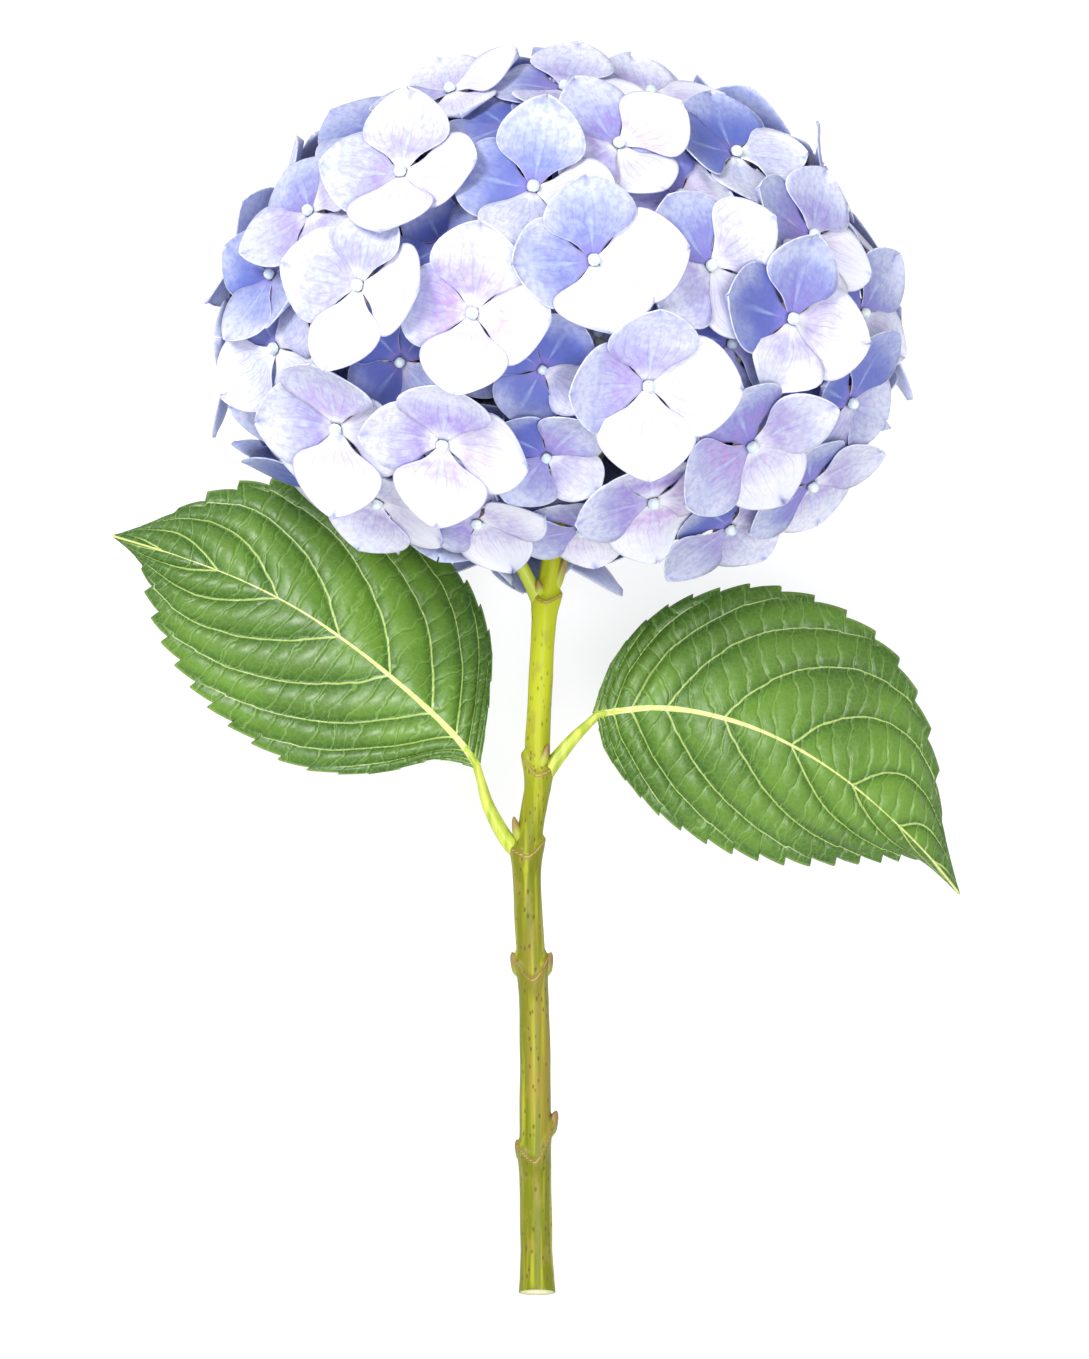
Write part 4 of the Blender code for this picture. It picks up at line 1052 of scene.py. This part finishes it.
fertile = grow("fertile_buds", *gather(fertile_shapes))
fertile_skin = speckled("fertile bud", 420.0, (0.35, 0.65), BUD_TINTS, roughness=0.5, relief=0.3)
fertile.data.materials.append(fertile_skin)
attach(fertile, "root")


# The crowded middle of the head, where hundreds of fine stalks start. Only its shade shows between
# the florets, so it is painted as that shade: a rough, dark, blue-green mass.
CORE_RINGS, CORE_SIDES = 60, 96
CORE_SCALE, CORE_LUMPS = 0.86, 0.03
CORE_PROFILE = ((0, 50), (22, 47), (41, 37), (53, 21), (58, 3), (53, -11), (42, -19), (0, -19))
CORE_LIGHT, CORE_DARK = (0.13, 0.17, 0.30), (0.035, 0.05, 0.10)
core_line = along([(a, b, 0) for a, b in CORE_PROFILE], np.linspace(0.0, 1.0, CORE_RINGS))
core_points = []
for reach, height, _ in core_line:
    for turn in turns_round(CORE_SIDES):
        lump = 1.0 + CORE_LUMPS * math.sin(9 * turn + 0.5 * height) * math.sin(0.42 * height + 4 * turn)
        reach_here = max(CORE_SCALE * reach * lump, 0.02)
        spot = (reach_here * math.cos(turn), CORE_SCALE * height, reach_here * math.sin(turn))
        core_points.append(HEAD_MIDDLE + spot)
core = grow("crowded_middle", core_points, grid_faces(CORE_RINGS, CORE_SIDES, round_about=True))
core_skin = Paint("crowded middle")
crowd = core_skin.cells(core_skin.place(), 420.0)
# Painted shade: the middle is coloured dark, as the shade between the florets.
shade = core_skin.mix(core_skin.range(crowd, 0.2, 0.7), CORE_LIGHT, CORE_DARK)
core.data.materials.append(core_skin.surface(shade, 0.8, core_skin.bump(crowd, -1.0, 0.0015)))
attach(core, "root")


# The table: plain white, wide enough to fill the view, with the flower's weight on it. It stands a
# hair below the sepals that rest on it, and glows a little so that it looks evenly lit.
TABLE_HALF, TABLE_DROP = 3, -0.0002
TABLE_WHITE, TABLE_GLOW = (0.30, 0.30, 0.30), 0.75
corners = [(x * TABLE_HALF, y * TABLE_HALF, TABLE_DROP) for x, y in ((-1, -1), (1, -1), (1, 1), (-1, 1))]
table_mesh = bpy.data.meshes.new("table")
table_mesh.from_pydata(corners, [], [(0, 1, 2, 3)])
table = bpy.data.objects.new("table", table_mesh)
bpy.context.scene.collection.objects.link(table)
cloth = Paint("white table")
even_light = {"Emission_Color": (1.0, 1.0, 1.0), "Emission_Strength": TABLE_GLOW}
table_mesh.materials.append(cloth.surface(TABLE_WHITE, 0.9, **even_light))


# The light: a bright even studio, with one broad soft lamp high on the left and one over the stem.
SKY_STRENGTH = 0.6
world = bpy.data.worlds.new("studio")
bpy.context.scene.world = world
world.use_nodes = True
sky = world.node_tree.nodes["Background"]
sky.inputs["Color"].default_value = (1.0, 1.0, 1.0, 1.0)
sky.inputs["Strength"].default_value = SKY_STRENGTH


def lamp(name, place, aim, size, power):
    data = bpy.data.lights.new(name, "AREA")
    data.shape = "DISK"
    data.size = size
    data.energy = power
    made = bpy.data.objects.new(name, data)
    bpy.context.scene.collection.objects.link(made)
    made.location = place
    made.rotation_euler = (Vector(aim) - Vector(place)).to_track_quat("-Z", "Y").to_euler()


lamp("key lamp", (-0.60, 0.25, 1.15), aim=(0.0, 0.02, 0.05), size=0.5, power=14.0)
lamp("fill lamp", (0.25, -0.65, 1.25), aim=(0.0, 0.0, 0.05), size=0.8, power=16.0)


# The camera looks straight down on the flower's face, square to its stem.
SENSOR = 36.0
VIEW_DISTANCE = 1000.0
VIEW_MIDDLE = (1.8, 148.4, 0.0)
VIEW_HEIGHT = 326.2
camera_data = bpy.data.cameras.new("camera")
camera = bpy.data.objects.new("camera", camera_data)
bpy.context.scene.collection.objects.link(camera)
camera_data.sensor_width = SENSOR
camera_data.lens = SENSOR * VIEW_DISTANCE / VIEW_HEIGHT
camera_data.dof.use_dof = False
eye = np.array(VIEW_MIDDLE) + (0.0, 0.0, VIEW_DISTANCE)
camera.matrix_world = Matrix.Translation(Vector(laid(eye))) @ Matrix.Rotation(LAY_TILT, 4, "X")
bpy.context.scene.camera = camera
bpy.context.scene.view_settings.view_transform = "Standard"
